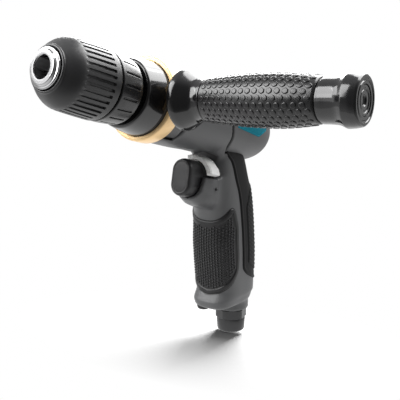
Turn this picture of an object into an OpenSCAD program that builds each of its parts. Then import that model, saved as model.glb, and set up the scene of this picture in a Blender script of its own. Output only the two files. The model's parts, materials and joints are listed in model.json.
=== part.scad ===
// Pistol-grip air drill with a keyless chuck and a clamp-on side handle.
// Origin: centre of the chuck's mouth. +X leaves the chuck, +Y is the side-handle side, +Z is up.
// Along the barrel a place is given as c, the distance behind the mouth.

/* [Chuck] */
// Largest diameter of the two sleeves
chuck_d = 43; // [40:0.5:47]
// Length from the mouth to the back of the rear sleeve
chuck_len = 59.6; // [56:0.2:64]
// Distance from the mouth to the line between the two sleeves
sleeve_split = 40; // [39:0.2:42]
// Diameter of the mouth, the largest shank that goes in
mouth_d = 13.2; // [12:0.1:13.6]
// Diameter of the steel nose
nose_d = 23.6; // [23:0.1:24.4]
// Length of the nose that stands out of the front sleeve
nose_proud = 3.3; // [2.6:0.1:4]
// Distance from the mouth to the shoulder of the front sleeve
shoulder_c = 13.5; // [13:0.1:15]
// Diameter of the front sleeve at the shoulder
shoulder_d = 40.6; // [40:0.1:41.6]
// Diameter of the front sleeve at its lip
lip_d = 26.4; // [26:0.1:28]
// Diameter at the back of the rear sleeve
rear_sleeve_d = 40.8; // [39:0.1:42]
// Number of flutes round the front sleeve
flute_count = 36; // [24:1:40]
// Number of slots round the rear sleeve
slot_count = 18; // [12:1:24]
// Diameter of a jaw
jaw_d = 6.2; // [5.8:0.1:6.6]
// Length of a jaw
jaw_len = 27; // [24:0.5:28]
// Angle between a jaw and the spindle
jaw_tilt = 15; // [14:0.2:15.6]
// Depth of the jaw tips behind the mouth when the chuck is open
jaw_depth = 12; // [11.5:0.1:13]

/* [Spindle and gears] */
// Wall of the collar around a spindle bearing
collar_wall = 6.75; // [6.5:0.05:7.5]
// Width of a spindle bearing
bearing_w = 11; // [10:0.5:11.5]
// Diameter of the thread that carries the chuck
chuck_thread_d = 12.7; // [12:0.1:14]
// Diameter of the screw that locks the chuck
lock_screw_d = 6; // [5:0.5:7]
// Teeth of the sun and of each planet
gear_teeth = 12; // [12:12:12]
// Width of the gears
gear_face = 8; // [7:0.5:8.5]
// Thickness of the planet carrier
carrier_t = 4; // [3:0.5:4.5]
// Diameter of a planet pin
planet_pin_d = 4; // [3:0.5:5]

/* [Motor] */
// Wall of the barrel around the motor
barrel_wall = 3.8; // [3.6:0.05:4.2]
// Length of the motor cylinder
motor_len = 64; // [58:0.5:66]
// Distance between the surfaces of the motor cylinder and the rotor
rotor_step = 6.4; // [6:0.05:7]
// Distance between the axes of the rotor and of the cylinder bore
eccentricity = 1.6; // [1.2:0.1:2]
// Number of vanes
vane_count = 5; // [4:1:6]
// Thickness of a vane
vane_t = 2.2; // [1.6:0.1:2.6]
// Thickness of the front end plate
front_plate_t = 10; // [9.6:0.1:11]
// Thickness of the rear end plate
rear_plate_t = 8.2; // [7.8:0.1:9]
// Diameter of the rotor shaft at the front
rotor_shaft_d = 9.6; // [9:0.1:9.7]
// Diameter of the rotor shaft at the rear
tail_shaft_d = 8; // [7:0.5:9]
// Width of the front rotor bearing
front_rotor_bearing_w = 9; // [8:0.1:9]
// Width of the rear rotor bearing
tail_bearing_w = 7; // [6:0.1:7]

/* [Barrel] */
// Diameter of the barrel
barrel_d = 52; // [51.4:0.1:54]
// Length from the mouth to the rear end
tool_len = 222; // [220:0.5:228]
// Height of the barrel's surface above the black collar behind the chuck
collar_step = 1.75; // [1.5:0.05:2.4]
// Length of the collar
collar_len = 15.5; // [15:0.1:17]
// Gap between the chuck and the collar
collar_gap = 2.4; // [2:0.1:3.2]
// Length of the dark neck band behind the clamp ring
neck_len = 12; // [11:0.1:13]
// Length of the thread that joins the gear case to the housing
spigot_len = 6; // [5:0.5:7]
// Depth of that thread below the barrel's surface
spigot_step = 2; // [1.8:0.05:2.2]
// Distance from the mouth to the seam under the barrel
seam_foot_c = 160.5; // [158:0.5:163]
// Slant of the seam
seam_tilt = 26.6; // [22:0.2:28]

/* [Pistol grip] */
// Slant of the grip, bottom to the rear
rake = 12; // [10:0.5:13]
// Distance from the mouth to the inlet's axis, on the barrel's axis
grip_c = 188.5; // [187:0.5:190]
// Length of the grip from the barrel's axis to its base
grip_len = 138; // [134:0.5:144]
// Depth of the grip, front to back
grip_depth = 51.5; // [50:0.5:54]
// Width of the grip
grip_w = 36.5; // [36:0.5:39]
// Thickness of the rubber pads
pad_t = 1; // [0.8:0.1:1.4]
// Thickness of the coloured side inserts
insert_t = 1; // [0.8:0.1:1.4]

/* [Trigger and valves] */
// Distance from the mouth to the trigger's face
trigger_c = 130.8; // [129:0.2:132]
// Distance of the trigger's axis below the barrel
trigger_gap = 18.6; // [18.6:0.1:20]
// Width of the trigger
trigger_w = 16.5; // [15:0.1:16.8]
// Height of the trigger
trigger_h = 26.2; // [24:0.1:26.6]
// Length of the trigger cap
trigger_len = 14.6; // [13.6:0.1:14.8]
// Travel of the trigger
trigger_travel = 7; // [5:0.5:7]
// Distance from the mouth to the lip of the trigger's cradle
cradle_c = 142; // [141:0.5:144]
// Width of the cradle at its lip
cradle_w = 23; // [22:0.5:25]
// Outer radius of the reversing lever
lever_r = 17.7; // [17.3:0.1:17.9]
// Radial thickness of the reversing lever
lever_t = 3.6; // [3:0.1:3.8]
// Length of the reversing lever along the barrel
lever_len = 11; // [9:0.5:11.5]
// Arc of the reversing lever
lever_arc = 106; // [90:1:110]
// Diameter of the bore that holds the valves
valve_bore_d = 16; // [15.4:0.1:16.6]

/* [Air inlet] */
// Diameter of the inlet bushing
inlet_d = 22.2; // [20:0.1:23]
// Width of its hexagon across the flats
inlet_hex = 22; // [20:0.5:24]
// Length of the hexagon
inlet_hex_len = 8; // [6:0.5:10]
// Length of the bushing below the hexagon
inlet_len = 11; // [9:0.5:14]
// Diameter of its threaded hole
inlet_thread_d = 11.8; // [11:0.1:13]
// Diameter of the boss above the hexagon
boss_d = 28; // [26:0.5:30]
// Length of the boss
boss_len = 7; // [6:0.5:9]

/* [Side handle] */
// Height of the clamp ring above the barrel's surface
clamp_step = 1.3; // [0.8:0.05:2.4]
// Width of the clamp ring
clamp_w = 11.2; // [10:0.1:12]
// Distance from the clamp ring to the handle's guard
guard_gap = 3.1; // [2.4:0.1:4.6]
// Diameter of the guard
guard_d = 37.4; // [34:0.2:40]
// Diameter of the handle's neck
handle_neck_d = 25; // [22:0.1:27]
// Distance from the guard to the near end of the rubber
rubber_set = 19.6; // [18:0.1:23]
// Length of the rubber
rubber_len = 73; // [66:0.5:80]
// Largest diameter of the rubber
rubber_d = 31.4; // [28:0.2:33]
// Diameter of the core inside the rubber
core_d = 18; // [16:0.5:20]
// Length of the tail behind the rubber
tail_len = 22; // [19:0.5:25]
// Largest diameter of the tail
tail_d = 29; // [26:0.2:31]
// Diameter of the threaded stud
stud_d = 8; // [6:0.5:10]

/* [Hidden] */
$fn = 96;
// Clearances: a seat, a running fit, open air between pieces
seat = 0.05;
run = 0.1;
air = 0.3;
// Overrun of every cut
over = 1;
// A length that is larger than the whole tool
far = 400;

// Chuck inside
nose_face_d = 20.2;
nose_chamfer = 2.3;
min_shank = 1.5;
jaw_travel = (mouth_d - min_shank) / 2 / sin(jaw_tilt);
nut_c = 15.2;
nut_len = 4.8;
groove_floor = 0.5;
washer_t = 1.3;
sleeve_wall = 2.8;
rear_wall = 3.4;
body_d = rear_sleeve_d - 2 * rear_wall;
// Length behind the shank's bore, for the lock screw and the spindle
back_len = 26.6;
bore_len = chuck_len - back_len;
bore_floor = 4;
flange_d = 22;
screw_head_d = 10;
screw_head_len = 5;
screw_len = 14;
thread_c = bore_len + screw_head_len + bore_floor;
flute_d = 2;
flute_start = 16;
flute_end = 36;
slot_w = 1.2;
slot_depth = 0.7;
slot_margin = 3;
sleeve_gap = 0.6;
chuck_r = chuck_d / 2;
// Radial reach of a jaw from its axis, and how far a jaw closes toward the spindle's axis
jaw_reach = jaw_d / 2 / cos(jaw_tilt);
jaw_close = jaw_travel * sin(jaw_tilt);
jaw_play = 0.25;
// Radius of a jaw's axis at a place behind the mouth: its hole leaves the body inside the mouth
function jaw_r(c) = mouth_d / 2 - jaw_reach - jaw_play + c * tan(jaw_tilt);
nut_end = nut_c + nut_len;
washer_c = nut_end + jaw_play;
body_c = washer_c + washer_t;
nut_r = chuck_r - sleeve_wall - flute_d / 2;

// Diameters that follow the barrel
collar_d = barrel_d - 2 * collar_step;
spigot_d = barrel_d - 2 * spigot_step;
clamp_d = barrel_d + 2 * clamp_step;
trigger_drop = barrel_d / 2 + trigger_gap;
guard_s = clamp_d / 2 + guard_gap;
rubber_s = guard_s + rubber_set;
rear_round_share = 0.2885;
rear_round = rear_round_share * barrel_d;
rear_taper_share = 0.8654;
rear_taper = rear_taper_share * barrel_d;
bearing_d = collar_d - 2 * collar_wall;
spindle_share = 0.4286;
spindle_d = spindle_share * bearing_d;
motor_d = barrel_d - 2 * barrel_wall;
rotor_d = motor_d - 2 * rotor_step;
vane_h_share = 0.2595;
vane_h = vane_h_share * rotor_d;
front_rotor_bearing_share = 0.676;
front_rotor_bearing_d = front_rotor_bearing_share * motor_d;
tail_bearing_share = 0.4955;
tail_bearing_d = tail_bearing_share * motor_d;
// The motor's diameter in tooth modules
motor_modules_share = 44.4;
gear_module = motor_d / motor_modules_share;

// Places along the barrel
seam_c = seam_foot_c - barrel_d / 2 * tan(seam_tilt);
collar_c = chuck_len + collar_gap;
case_c = collar_c + collar_len;
clamp_gap = 1.5;
clamp_c = case_c + clamp_gap;
neck_c = clamp_c + clamp_w + air;
housing_c = neck_c + neck_len;
handle_c = clamp_c + clamp_w / 2;
collar_lip = 1;
collar_taper = 2.5;
front_bearing_c = collar_c + collar_lip;
case_lip = 1;
rear_bearing_c = case_c + case_lip;
carrier_c = rear_bearing_c + bearing_w + air;
planet_c = carrier_c + carrier_t + air;
ring_gear_c = planet_c - air / 2;
ring_gear_len = gear_face + 4 * air;
front_plate_c = ring_gear_c + ring_gear_len;
motor_c = front_plate_c + front_plate_t;
rear_plate_c = motor_c + motor_len;
motor_end = rear_plate_c + rear_plate_t;
bore_r = motor_d / 2 + seat;
clamp_seat_r = collar_d / 2 - air;
clamp_bore_r = clamp_seat_r + run;
case_wall = 4;

// Gears: a sun and three planets of equal size in a ring
pressure_angle = 25;
backlash = 0.12;
planet_count = 3;
ring_teeth = gear_teeth * 3;
gear_r = gear_teeth * gear_module / 2;
orbit_r = gear_r * 2;
tooth_top_share = 0.8;
tooth_foot_share = 1.1;
tooth_top = tooth_top_share * gear_module;
tooth_foot = tooth_foot_share * gear_module;
ring_wall_r = motor_d / 2;
flank_steps = 4;

// Bearings: a ring as a share of the section, and the balls as a share of a full row
race_share = 0.3;
ball_share = 0.4;

// Motor inside
bore_play = 0.2;
cylinder_bore_r = rotor_d / 2 + eccentricity + bore_play;
rotor_play = 0.25;
shaft_hole_play = 1;
cover_screw_d = 3;
cover_screw_head_d = 5.5;
cover_screw_head_len = 3;
cover_screw_step = 2;
cover_screw_r = barrel_d / 2 - rear_round + cover_screw_step;
cover_screw_count = 4;
cover_screw_bite = 5;
cover_wall = 9;
chamber_share = 0.383;
chamber_r = chamber_share * motor_d;

// Pistol grip: rows of [along the grip, rear edge, front edge, half width]
grip_shares = [
    [0.116, 0.058, 0.709, 0.411], [0.174, 0.000, 0.709, 0.452], [0.268, -0.083, 0.705, 0.477],
    [0.341, -0.157, 0.699, 0.490], [0.435, -0.210, 0.691, 0.499], [0.522, -0.245, 0.672, 0.499],
    [0.609, -0.272, 0.683, 0.499], [0.703, -0.291, 0.666, 0.499], [0.804, -0.291, 0.637, 0.496],
    [0.895, -0.295, 0.619, 0.493], [0.931, -0.295, 0.670, 0.493], [0.953, -0.272, 0.715, 0.471],
    [0.978, -0.243, 0.699, 0.450], [1.000, -0.175, 0.645, 0.390]];
grip_rows = [for (s = grip_shares) [s[0] * grip_len, s[1] * grip_depth, s[2] * grip_depth, s[3] * grip_w]];
grip_power = 3.2;
grip_sides = 32;
function grip_value(d, k) = lookup(d, [for (row = grip_rows) [row[0], row[k]]]);
function swell(t) = sign(t) * pow(abs(t), 2 / grip_power);
// A point of the grip's skin: distance along the grip, angle from the front, distance outside the skin
function grip_point(d, angle, out) =
    let (rear = grip_value(d, 1), front = grip_value(d, 2), half = grip_value(d, 3))
    [(front + rear) / 2 + ((front - rear) / 2 + out) * swell(cos(angle)), (half + out) * swell(sin(angle)), d];

// Rubber pads: edges as angles from the front and as shares of the grip's length, or of the length below the cradle
pad_gap = 0.25;
pad_angle = 78;
pad_cols = 16;
pad_rows = 10;
pad_top_shares = [[0, 0.0855], [30, 0.0818], [60, 0.0269], [78, -0.0097]];
pad_end_shares = [[0, 0.8574], [25, 0.8445], [50, 0.7659], [78, 0.6251]];
strip_angle_shares = [[0.2, 62], [0.26, 72], [0.42, 86], [0.80, 92]];
strip_gap = 2.29;
strip_top_share = (barrel_d / 2 + strip_gap) / grip_len;
strip_side_share = 0.80;
strip_end_shares = [[90, 0.800], [130, 0.832], [180, 0.850]];

// Outline of a side insert in the barrel's side view, as shares of the barrel's diameter
insert_shares = [[0, -0.125], [0.56, -0.16], [0.77, -0.067], [0.77, 0.10], [0.56, 0.19], [0, 0.155]];
insert_c = 160;

// Trigger, cradle and lever
lever_set = 3;
lever_c = cradle_c + lever_set;
lever_hub_t = 3;
lever_hub_d = 19;
lever_play = 0.35;
pocket_gap = 0.35;
cradle_top = 0.8;
cradle_floor = 3.6;
cradle_run = 26;
cradle_drop = 7;
cradle_corner = 5;
cradle_back_w = 33;
trigger_round = 1.2;
stem_d = 4.8;
poppet_d = 8.8;
poppet_t = 4;
chamber_d = 10;
bushing_gap = 0.5;
seat_t = 7;
hub_c = lever_c + lever_len - lever_hub_t;
hub_end = lever_c + lever_len;
reverse_valve_len = 15;
reverse_bore_d = 11;
bushing_c = hub_end + reverse_valve_len + bushing_gap;
valve_seat_c = bushing_c + seat_t;
spring_len = 11;
wire_share = 0.12;
bushing_lip = 1;
valve_end = valve_seat_c + air + poppet_t + spring_len;
cross_pin_d = 2.4;
cross_pin_drop = 6;
cross_pin_c = hub_c - cross_pin_d / 2 - air;
cross_pin_len = cradle_w + (cradle_back_w - cradle_w) * (cross_pin_c - cradle_c) / cradle_run - air;
lever_start = 4;
// Distance along the grip to the cradle's foot, where the front pad's edges start
cradle_foot = (trigger_drop + trigger_h / 2 + cradle_floor + cradle_drop) * cos(rake)
    - (grip_c - cradle_c - cradle_run) * sin(rake);

// Inlet and exhaust
shank_d = 17;
shank_len = 12;
boss_c = grip_len - over;
inlet_hex_c = grip_len + boss_len;
inlet_end = inlet_hex_c + inlet_hex_len + inlet_len;
inlet_chamfer = 1;
passage_d = 10;
screen_t = 1.5;
screen_d = passage_d - 2 * seat;
thread_len = 14;
exhaust_d = 6.8;
exhaust_a = 14;
exhaust_y = 12.3;
chamber_a = 20.5;
chamber_w = 22;
chamber_len = 17;
chamber_depth = 12;
exhaust_start_share = 0.4;
muffler_t = 5;
exhaust_cover_t = 3;
base_screw_d = 4;
base_screw_head_d = 7;
base_screw_head_len = 2;
base_screw_bite = 6;

// Side handle profile
ear_h = 22;
guard_edge = 1.8;
guard_dome = 12;
dome_share = 0.75;
tail_neck_len = 7;
tail_flare_len = 8;
tail_end_d = 26.6;
tail_neck_d = 24.8;
plug_d = 16;
plug_len = 4;
plug_groove = 0.6;
stud_grip = 22;
rubber_front_d = 27;
rubber_end_d = 26;
swell_share = 0.59;
rubber_steps = 12;

// Frames

// Turned about the barrel's axis from points [radius, c]
module turned(points) {
    rotate([0, -90, 0])
        rotate_extrude()
            polygon(points);
}

// A tube on the barrel's axis
module tube(outer_r, inner_r, c, length) {
    turned([[inner_r, c], [outer_r, c], [outer_r, c + length], [inner_r, c + length]]);
}

// A rod on the barrel's axis
module rod(r, c, length) {
    translate([-c, 0, 0])
        rotate([0, -90, 0])
            cylinder(r = r, h = length);
}

// Children with +Z rearward from the place c, +X up
module behind(c) {
    translate([-c, 0, 0])
        rotate([0, -90, 0])
            children();
}

// The same on the trigger's axis
module trigger_frame(c) {
    translate([0, 0, -trigger_drop])
        behind(c)
            children();
}

// Children with +Z down the grip along the inlet's axis, +X forward
module grip_frame() {
    translate([-grip_c, 0, 0])
        rotate([180, rake, 0])
            children();
}

// Children with +Z out along the side handle
module handle_frame() {
    translate([-handle_c, 0, 0])
        rotate([-90, 0, 0])
            children();
}

// All that lies behind the seam of the barrel, moved back by a gap
module behind_seam(gap) {
    translate([-seam_c, 0, 0])
        rotate([0, seam_tilt, 0])
            translate([-far - gap, -far / 2, -far / 2])
                cube(far);
}

// Gears

function involute(a) = tan(a) - a * PI / 180;
function half_tooth(teeth, base_r, r, play) =
    90 / teeth - play / (2 * teeth * gear_module / 2) * 180 / PI
    + (involute(pressure_angle) - involute(acos(min(1, base_r / max(r, base_r))))) * 180 / PI;
function flank(teeth, foot_r, top_r, play) =
    let (base_r = teeth * gear_module / 2 * cos(pressure_angle))
    [for (i = [0 : flank_steps]) let (r = foot_r + (top_r - foot_r) * i / flank_steps)
        [r, half_tooth(teeth, base_r, r, play)]];
function gear_points(teeth, foot_r, top_r, play) =
    let (side = flank(teeth, foot_r, top_r, play))
    [for (t = [0 : teeth - 1], i = [0 : 2 * flank_steps + 1])
        let (rising = i <= flank_steps, p = side[rising ? i : 2 * flank_steps + 1 - i],
             a = t * 360 / teeth + (rising ? -p[1] : p[1]))
        [p[0] * cos(a), p[0] * sin(a)]];

// An external gear standing on the XY plane, with a tooth on +X
module gear(length) {
    linear_extrude(length)
        polygon(gear_points(gear_teeth, gear_r - tooth_foot, gear_r + tooth_top, backlash));
}

// Shapes used more than once

// One bearing ring, as a share of the bearing's section
module bearing_ring(inner_d, outer_d, width, c, outer) {
    step = (outer_d - inner_d) / 2 * race_share;
    if (outer)
        tube(outer_d / 2, outer_d / 2 - step, c, width);
    else
        tube(inner_d / 2 + step, inner_d / 2, c, width);
}

// The balls of one bearing
module bearing_balls(inner_d, outer_d, width, c) {
    pitch_r = (inner_d + outer_d) / 4;
    gap = (outer_d - inner_d) / 2 * (1 - 2 * race_share);
    ball_r = gap / 2 - run;
    count = floor(2 * PI * pitch_r / gap * ball_share);
    behind(c + width / 2)
        for (i = [0 : count - 1])
            rotate(i * 360 / count)
                translate([pitch_r, 0, 0])
                    sphere(r = ball_r);
}

// A stadium: two half circles and the square between them, tall along X
module stadium(width, height, length) {
    linear_extrude(length) {
        translate([(height - width) / 2, 0])
            circle(d = width);
        translate([-(height - width) / 2, 0])
            circle(d = width);
        translate([-(height - width) / 2, -width / 2])
            square([height - width, width]);
    }
}

// A closed skin from two grids of points, outside and inside, each a list of rows
module skin(outer, inner) {
    rows = len(outer);
    cols = len(outer[0]);
    count = rows * cols;
    points = concat([for (row = outer) each row], [for (row = inner) each row]);
    function at(i, j) = i * cols + j;
    faces = concat(
        [for (i = [0 : rows - 2], j = [0 : cols - 2]) each
            [[at(i, j), at(i, j + 1), at(i + 1, j)], [at(i + 1, j), at(i, j + 1), at(i + 1, j + 1)]]],
        [for (i = [0 : rows - 2], j = [0 : cols - 2]) each
            [[count + at(i, j), count + at(i + 1, j), count + at(i, j + 1)],
             [count + at(i + 1, j), count + at(i + 1, j + 1), count + at(i, j + 1)]]],
        [for (j = [0 : cols - 2]) each
            [[at(0, j), count + at(0, j), at(0, j + 1)], [at(0, j + 1), count + at(0, j), count + at(0, j + 1)],
             [at(rows - 1, j), at(rows - 1, j + 1), count + at(rows - 1, j)],
             [at(rows - 1, j + 1), count + at(rows - 1, j + 1), count + at(rows - 1, j)]]],
        [for (i = [0 : rows - 2]) each
            [[at(i, 0), at(i + 1, 0), count + at(i, 0)], [at(i + 1, 0), count + at(i + 1, 0), count + at(i, 0)],
             [at(i, cols - 1), count + at(i, cols - 1), at(i + 1, cols - 1)],
             [at(i + 1, cols - 1), count + at(i, cols - 1), count + at(i + 1, cols - 1)]]]);
    polyhedron(points, faces, convexity = 6);
}

// The pistol grip's solid
module grip_solid() {
    last = len(grip_rows) - 1;
    points = [for (row = grip_rows, j = [0 : grip_sides - 1]) grip_point(row[0], j * 360 / grip_sides, 0)];
    sides = [for (i = [0 : last - 1], j = [0 : grip_sides - 1])
        let (a = i * grip_sides + j, b = i * grip_sides + (j + 1) % grip_sides) each
        [[a, a + grip_sides, b], [b, a + grip_sides, b + grip_sides]]];
    top = [[for (j = [0 : grip_sides - 1]) j]];
    base = [[for (j = [0 : grip_sides - 1]) last * grip_sides + grip_sides - 1 - j]];
    grip_frame()
        polyhedron(points, concat(sides, top, base), convexity = 4);
}

// The cradle below the trigger
module cradle_section(c, width, depth) {
    trigger_frame(c)
        for (side = [-1, 1]) {
            translate([-depth + cradle_corner, side * (width / 2 - cradle_corner), 0])
                cylinder(r = cradle_corner, h = over, $fn = 32);
            translate([-cradle_top - over, side * (width / 2 - over / 2) - over / 2, 0])
                cube(over);
        }
}

module cradle() {
    hull() {
        cradle_section(cradle_c, cradle_w, trigger_h / 2 + cradle_floor);
        cradle_section(cradle_c + cradle_run, cradle_back_w, trigger_h / 2 + cradle_floor + cradle_drop);
    }
}

// Passages for the exhaust, beside the valve bore
module exhaust_passages() {
    exhaust_start = bore_r * exhaust_start_share;
    grip_frame()
        for (side = [-1, 1])
            translate([exhaust_a, side * exhaust_y, exhaust_start])
                cylinder(d = exhaust_d, h = grip_len - chamber_depth + over - exhaust_start);
}

// The space below the grip that holds the muffler and its cover
module exhaust_chamber(gap, from, length) {
    grip_frame()
        translate([chamber_a - chamber_len / 2 + gap, -chamber_w / 2 + gap, from])
            cube([chamber_len - 2 * gap, chamber_w - 2 * gap, length]);
}

module insert_prism(side) {
    points = [for (p = insert_shares) [-insert_c - p[0] * barrel_d, p[1] * barrel_d]];
    translate([0, side > 0 ? 0 : -far, 0])
        translate([0, far, 0])
            rotate([90, 0, 0])
                linear_extrude(far)
                    polygon(points);
}

module side_insert(side) {
    color("teal")
        intersection() {
            tube(barrel_d / 2, barrel_d / 2 - insert_t + seat, insert_c - over, barrel_d);
            insert_prism(side);
        }
}

// Housing

module main_housing() {
    color("dimgray")
        difference() {
            union() {
                difference() {
                    rod(barrel_d / 2, housing_c, seam_c + barrel_d - housing_c);
                    behind_seam(0);
                }
                difference() {
                    union() {
                        grip_solid();
                        cradle();
                    }
                    intersection() {
                        rod(barrel_d / 2, seam_c - barrel_d, 2 * barrel_d + seam_c);
                        behind_seam(-seat);
                    }
                }
                grip_frame()
                    translate([0, 0, boss_c - over])
                        cylinder(d = boss_d, h = boss_len + 2 * over);
            }
            rod(bore_r, housing_c - over, far);
            rod(spigot_d / 2 + seat, housing_c - over, spigot_len + air + over);
            trigger_frame(cradle_c - over)
                stadium(trigger_w + 2 * pocket_gap, trigger_h + 2 * pocket_gap, hub_c + lever_hub_t - cradle_c + over);
            trigger_frame(hub_c - air)
                cylinder(d = lever_hub_d + 2 * lever_play, h = lever_hub_t + 2 * air);
            trigger_frame(cradle_c)
                cylinder(d = valve_bore_d, h = valve_end + passage_d / 2 - cradle_c);
            grip_frame()
                translate([0, 0, trigger_drop])
                    cylinder(d = passage_d, h = grip_len);
            grip_frame()
                translate([0, 0, inlet_hex_c - shank_len])
                    cylinder(d = shank_d + 2 * seat, h = shank_len + over);
            exhaust_passages();
            exhaust_chamber(0, grip_len - chamber_depth, chamber_depth + over);
            cross_pin_hole();
            base_screw_shank(seat, over);
        }
}

module cross_pin_hole() {
    translate([-cross_pin_c, 0, -trigger_drop - cross_pin_drop])
        rotate([90, 0, 0])
            cylinder(d = cross_pin_d + 2 * seat, h = far, center = true);
}

// The base screw's shank, from the roof of the chamber to below the base
module base_screw_shank(grow, past) {
    length = chamber_depth + base_screw_bite;
    grip_frame()
        translate([chamber_a, 0, grip_len - length - grow])
            cylinder(d = base_screw_d + 2 * grow, h = length + grow + past);
}

module rear_cover() {
    r = barrel_d / 2;
    color("dimgray")
        difference() {
            intersection() {
                rotate([0, -90, 0])
                    rotate_extrude() {
                        translate([0, seam_c - barrel_d])
                            square([r, tool_len - rear_taper - seam_c + barrel_d]);
                        square([r - rear_round, tool_len]);
                        translate([r - rear_round, tool_len - rear_taper])
                            intersection() {
                                scale([1, rear_taper / rear_round])
                                    circle(r = rear_round);
                                square([rear_round, rear_taper]);
                            }
                    }
                behind_seam(air);
            }
            rod(bore_r, seam_c - barrel_d, motor_end + air - seam_c + barrel_d);
            rod(chamber_r, motor_end, tool_len - cover_wall - motor_end);
            cover_screw_places() {
                translate([0, 0, motor_end])
                    cylinder(d = cover_screw_d + 2 * seat, h = tool_len);
                translate([0, 0, tool_len - cover_screw_head_len])
                    cylinder(d = cover_screw_head_d + 2 * seat, h = tool_len);
            }
            for (side = [-1, 1])
                difference() {
                    insert_prism(side);
                    rod(barrel_d / 2 - insert_t, seam_c, barrel_d * 2);
                }
            exhaust_passages();
        }
}

// Children at each cover screw, +Z rearward from the mouth
module cover_screw_places() {
    rotate([0, -90, 0])
        for (i = [0 : cover_screw_count - 1])
            rotate((i + 1 / 2) * 360 / cover_screw_count)
                translate([cover_screw_r, 0, 0])
                    children();
}

module cover_screws() {
    head_c = tool_len - cover_screw_head_len;
    tip_c = motor_end - cover_screw_bite;
    color("silver")
        cover_screw_places()
            difference() {
                union() {
                    translate([0, 0, tip_c])
                        cylinder(d = cover_screw_d, h = head_c - tip_c + over);
                    translate([0, 0, head_c])
                        cylinder(d = cover_screw_head_d, h = cover_screw_head_len - air);
                }
                translate([0, 0, head_c + air])
                    cylinder(d = cover_screw_d, h = cover_screw_head_len, $fn = 6);
            }
}

module gear_case() {
    color([0.12, 0.12, 0.13])
        turned([
            [spindle_d / 2 + case_wall, case_c], [clamp_seat_r, case_c],
            [clamp_seat_r, neck_c], [barrel_d / 2, neck_c],
            [barrel_d / 2, housing_c], [spigot_d / 2, housing_c],
            [spigot_d / 2, housing_c + spigot_len], [bore_r, housing_c + spigot_len],
            [bore_r, ring_gear_c], [orbit_r + gear_r + tooth_foot, ring_gear_c],
            [orbit_r + gear_r + tooth_foot, carrier_c - air], [bearing_d / 2 + seat, carrier_c - air],
            [bearing_d / 2 + seat, rear_bearing_c], [spindle_d / 2 + case_wall, rear_bearing_c]]);
}

module front_collar() {
    round_r = collar_lip;
    color([0.06, 0.06, 0.06])
        turned([
            [flange_d / 2 + air, collar_c], [collar_d / 2 - collar_taper - round_r, collar_c],
            [collar_d / 2 - collar_taper, collar_c + round_r], [collar_d / 2, case_c - round_r / 2], [collar_d / 2, case_c], [bearing_d / 2 + seat, case_c],
            [bearing_d / 2 + seat, front_bearing_c], [flange_d / 2 + air, front_bearing_c]]);
}

module ring_gear() {
    color("slategray")
        behind(ring_gear_c)
            difference() {
                cylinder(r = ring_wall_r, h = ring_gear_len);
                translate([0, 0, -over])
                    linear_extrude(ring_gear_len + 2 * over)
                        rotate(180 / ring_teeth)
                            polygon(gear_points(ring_teeth, orbit_r + gear_r - tooth_top,
                                orbit_r + gear_r + tooth_foot, -backlash));
            }
}

module spindle_bearing_outer() {
    color("silver") {
        bearing_ring(spindle_d, bearing_d, bearing_w, front_bearing_c, true);
        bearing_ring(spindle_d, bearing_d, bearing_w, rear_bearing_c, true);
    }
}

module spindle_bearing_balls() {
    color("gainsboro") {
        bearing_balls(spindle_d, bearing_d, bearing_w, front_bearing_c);
        bearing_balls(spindle_d, bearing_d, bearing_w, rear_bearing_c);
    }
}

module motor_cylinder() {
    color("lightgray")
        difference() {
            rod(motor_d / 2, motor_c, motor_len);
            translate([0, 0, -eccentricity])
                rod(cylinder_bore_r, motor_c - over, motor_len + 2 * over);
        }
}

module front_end_plate() {
    seat_c = front_plate_c;
    color("darkgray")
        turned([
            [front_rotor_bearing_d / 2 + seat, seat_c], [motor_d / 2, seat_c],
            [motor_d / 2, motor_c], [rotor_shaft_d / 2 + shaft_hole_play, motor_c],
            [rotor_shaft_d / 2 + shaft_hole_play, seat_c + front_rotor_bearing_w],
            [front_rotor_bearing_d / 2 + seat, seat_c + front_rotor_bearing_w]]);
}

module rear_end_plate() {
    seat_c = motor_end - tail_bearing_w;
    color("darkgray")
        difference() {
            turned([
                [tail_shaft_d / 2 + shaft_hole_play, rear_plate_c], [motor_d / 2, rear_plate_c],
                [motor_d / 2, motor_end], [tail_bearing_d / 2 + seat, motor_end],
                [tail_bearing_d / 2 + seat, seat_c], [tail_shaft_d / 2 + shaft_hole_play, seat_c]]);
            cover_screw_places()
                translate([0, 0, motor_end - cover_screw_bite - air])
                    cylinder(d = cover_screw_d + 2 * seat, h = cover_screw_bite + over);
        }
}

module rotor_bearing_outer() {
    color("silver") {
        bearing_ring(rotor_shaft_d, front_rotor_bearing_d, front_rotor_bearing_w, front_plate_c, true);
        bearing_ring(tail_shaft_d, tail_bearing_d, tail_bearing_w, motor_end - tail_bearing_w, true);
    }
}

module rotor_bearing_balls() {
    color("gainsboro") {
        bearing_balls(rotor_shaft_d, front_rotor_bearing_d, front_rotor_bearing_w, front_plate_c);
        bearing_balls(tail_shaft_d, tail_bearing_d, tail_bearing_w, motor_end - tail_bearing_w);
    }
}

module side_insert_left() {
    side_insert(1);
}

module side_insert_right() {
    side_insert(-1);
}

// The rubber pad on the front of the grip
module grip_pad() {
    function edge(shares, angle) = cradle_foot + lookup(abs(angle), shares) * (grip_len - cradle_foot);
    function row(i, out) = [for (j = [0 : pad_cols])
        let (angle = pad_angle * (2 * j / pad_cols - 1),
             top = edge(pad_top_shares, angle), end = edge(pad_end_shares, angle))
        grip_point(top + (end - top) * i / pad_rows, angle, out)];
    color([0.16, 0.16, 0.16])
        grip_frame()
            skin([for (i = [0 : pad_rows]) row(i, pad_gap + pad_t)], [for (i = [0 : pad_rows]) row(i, pad_gap)]);
}

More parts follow.
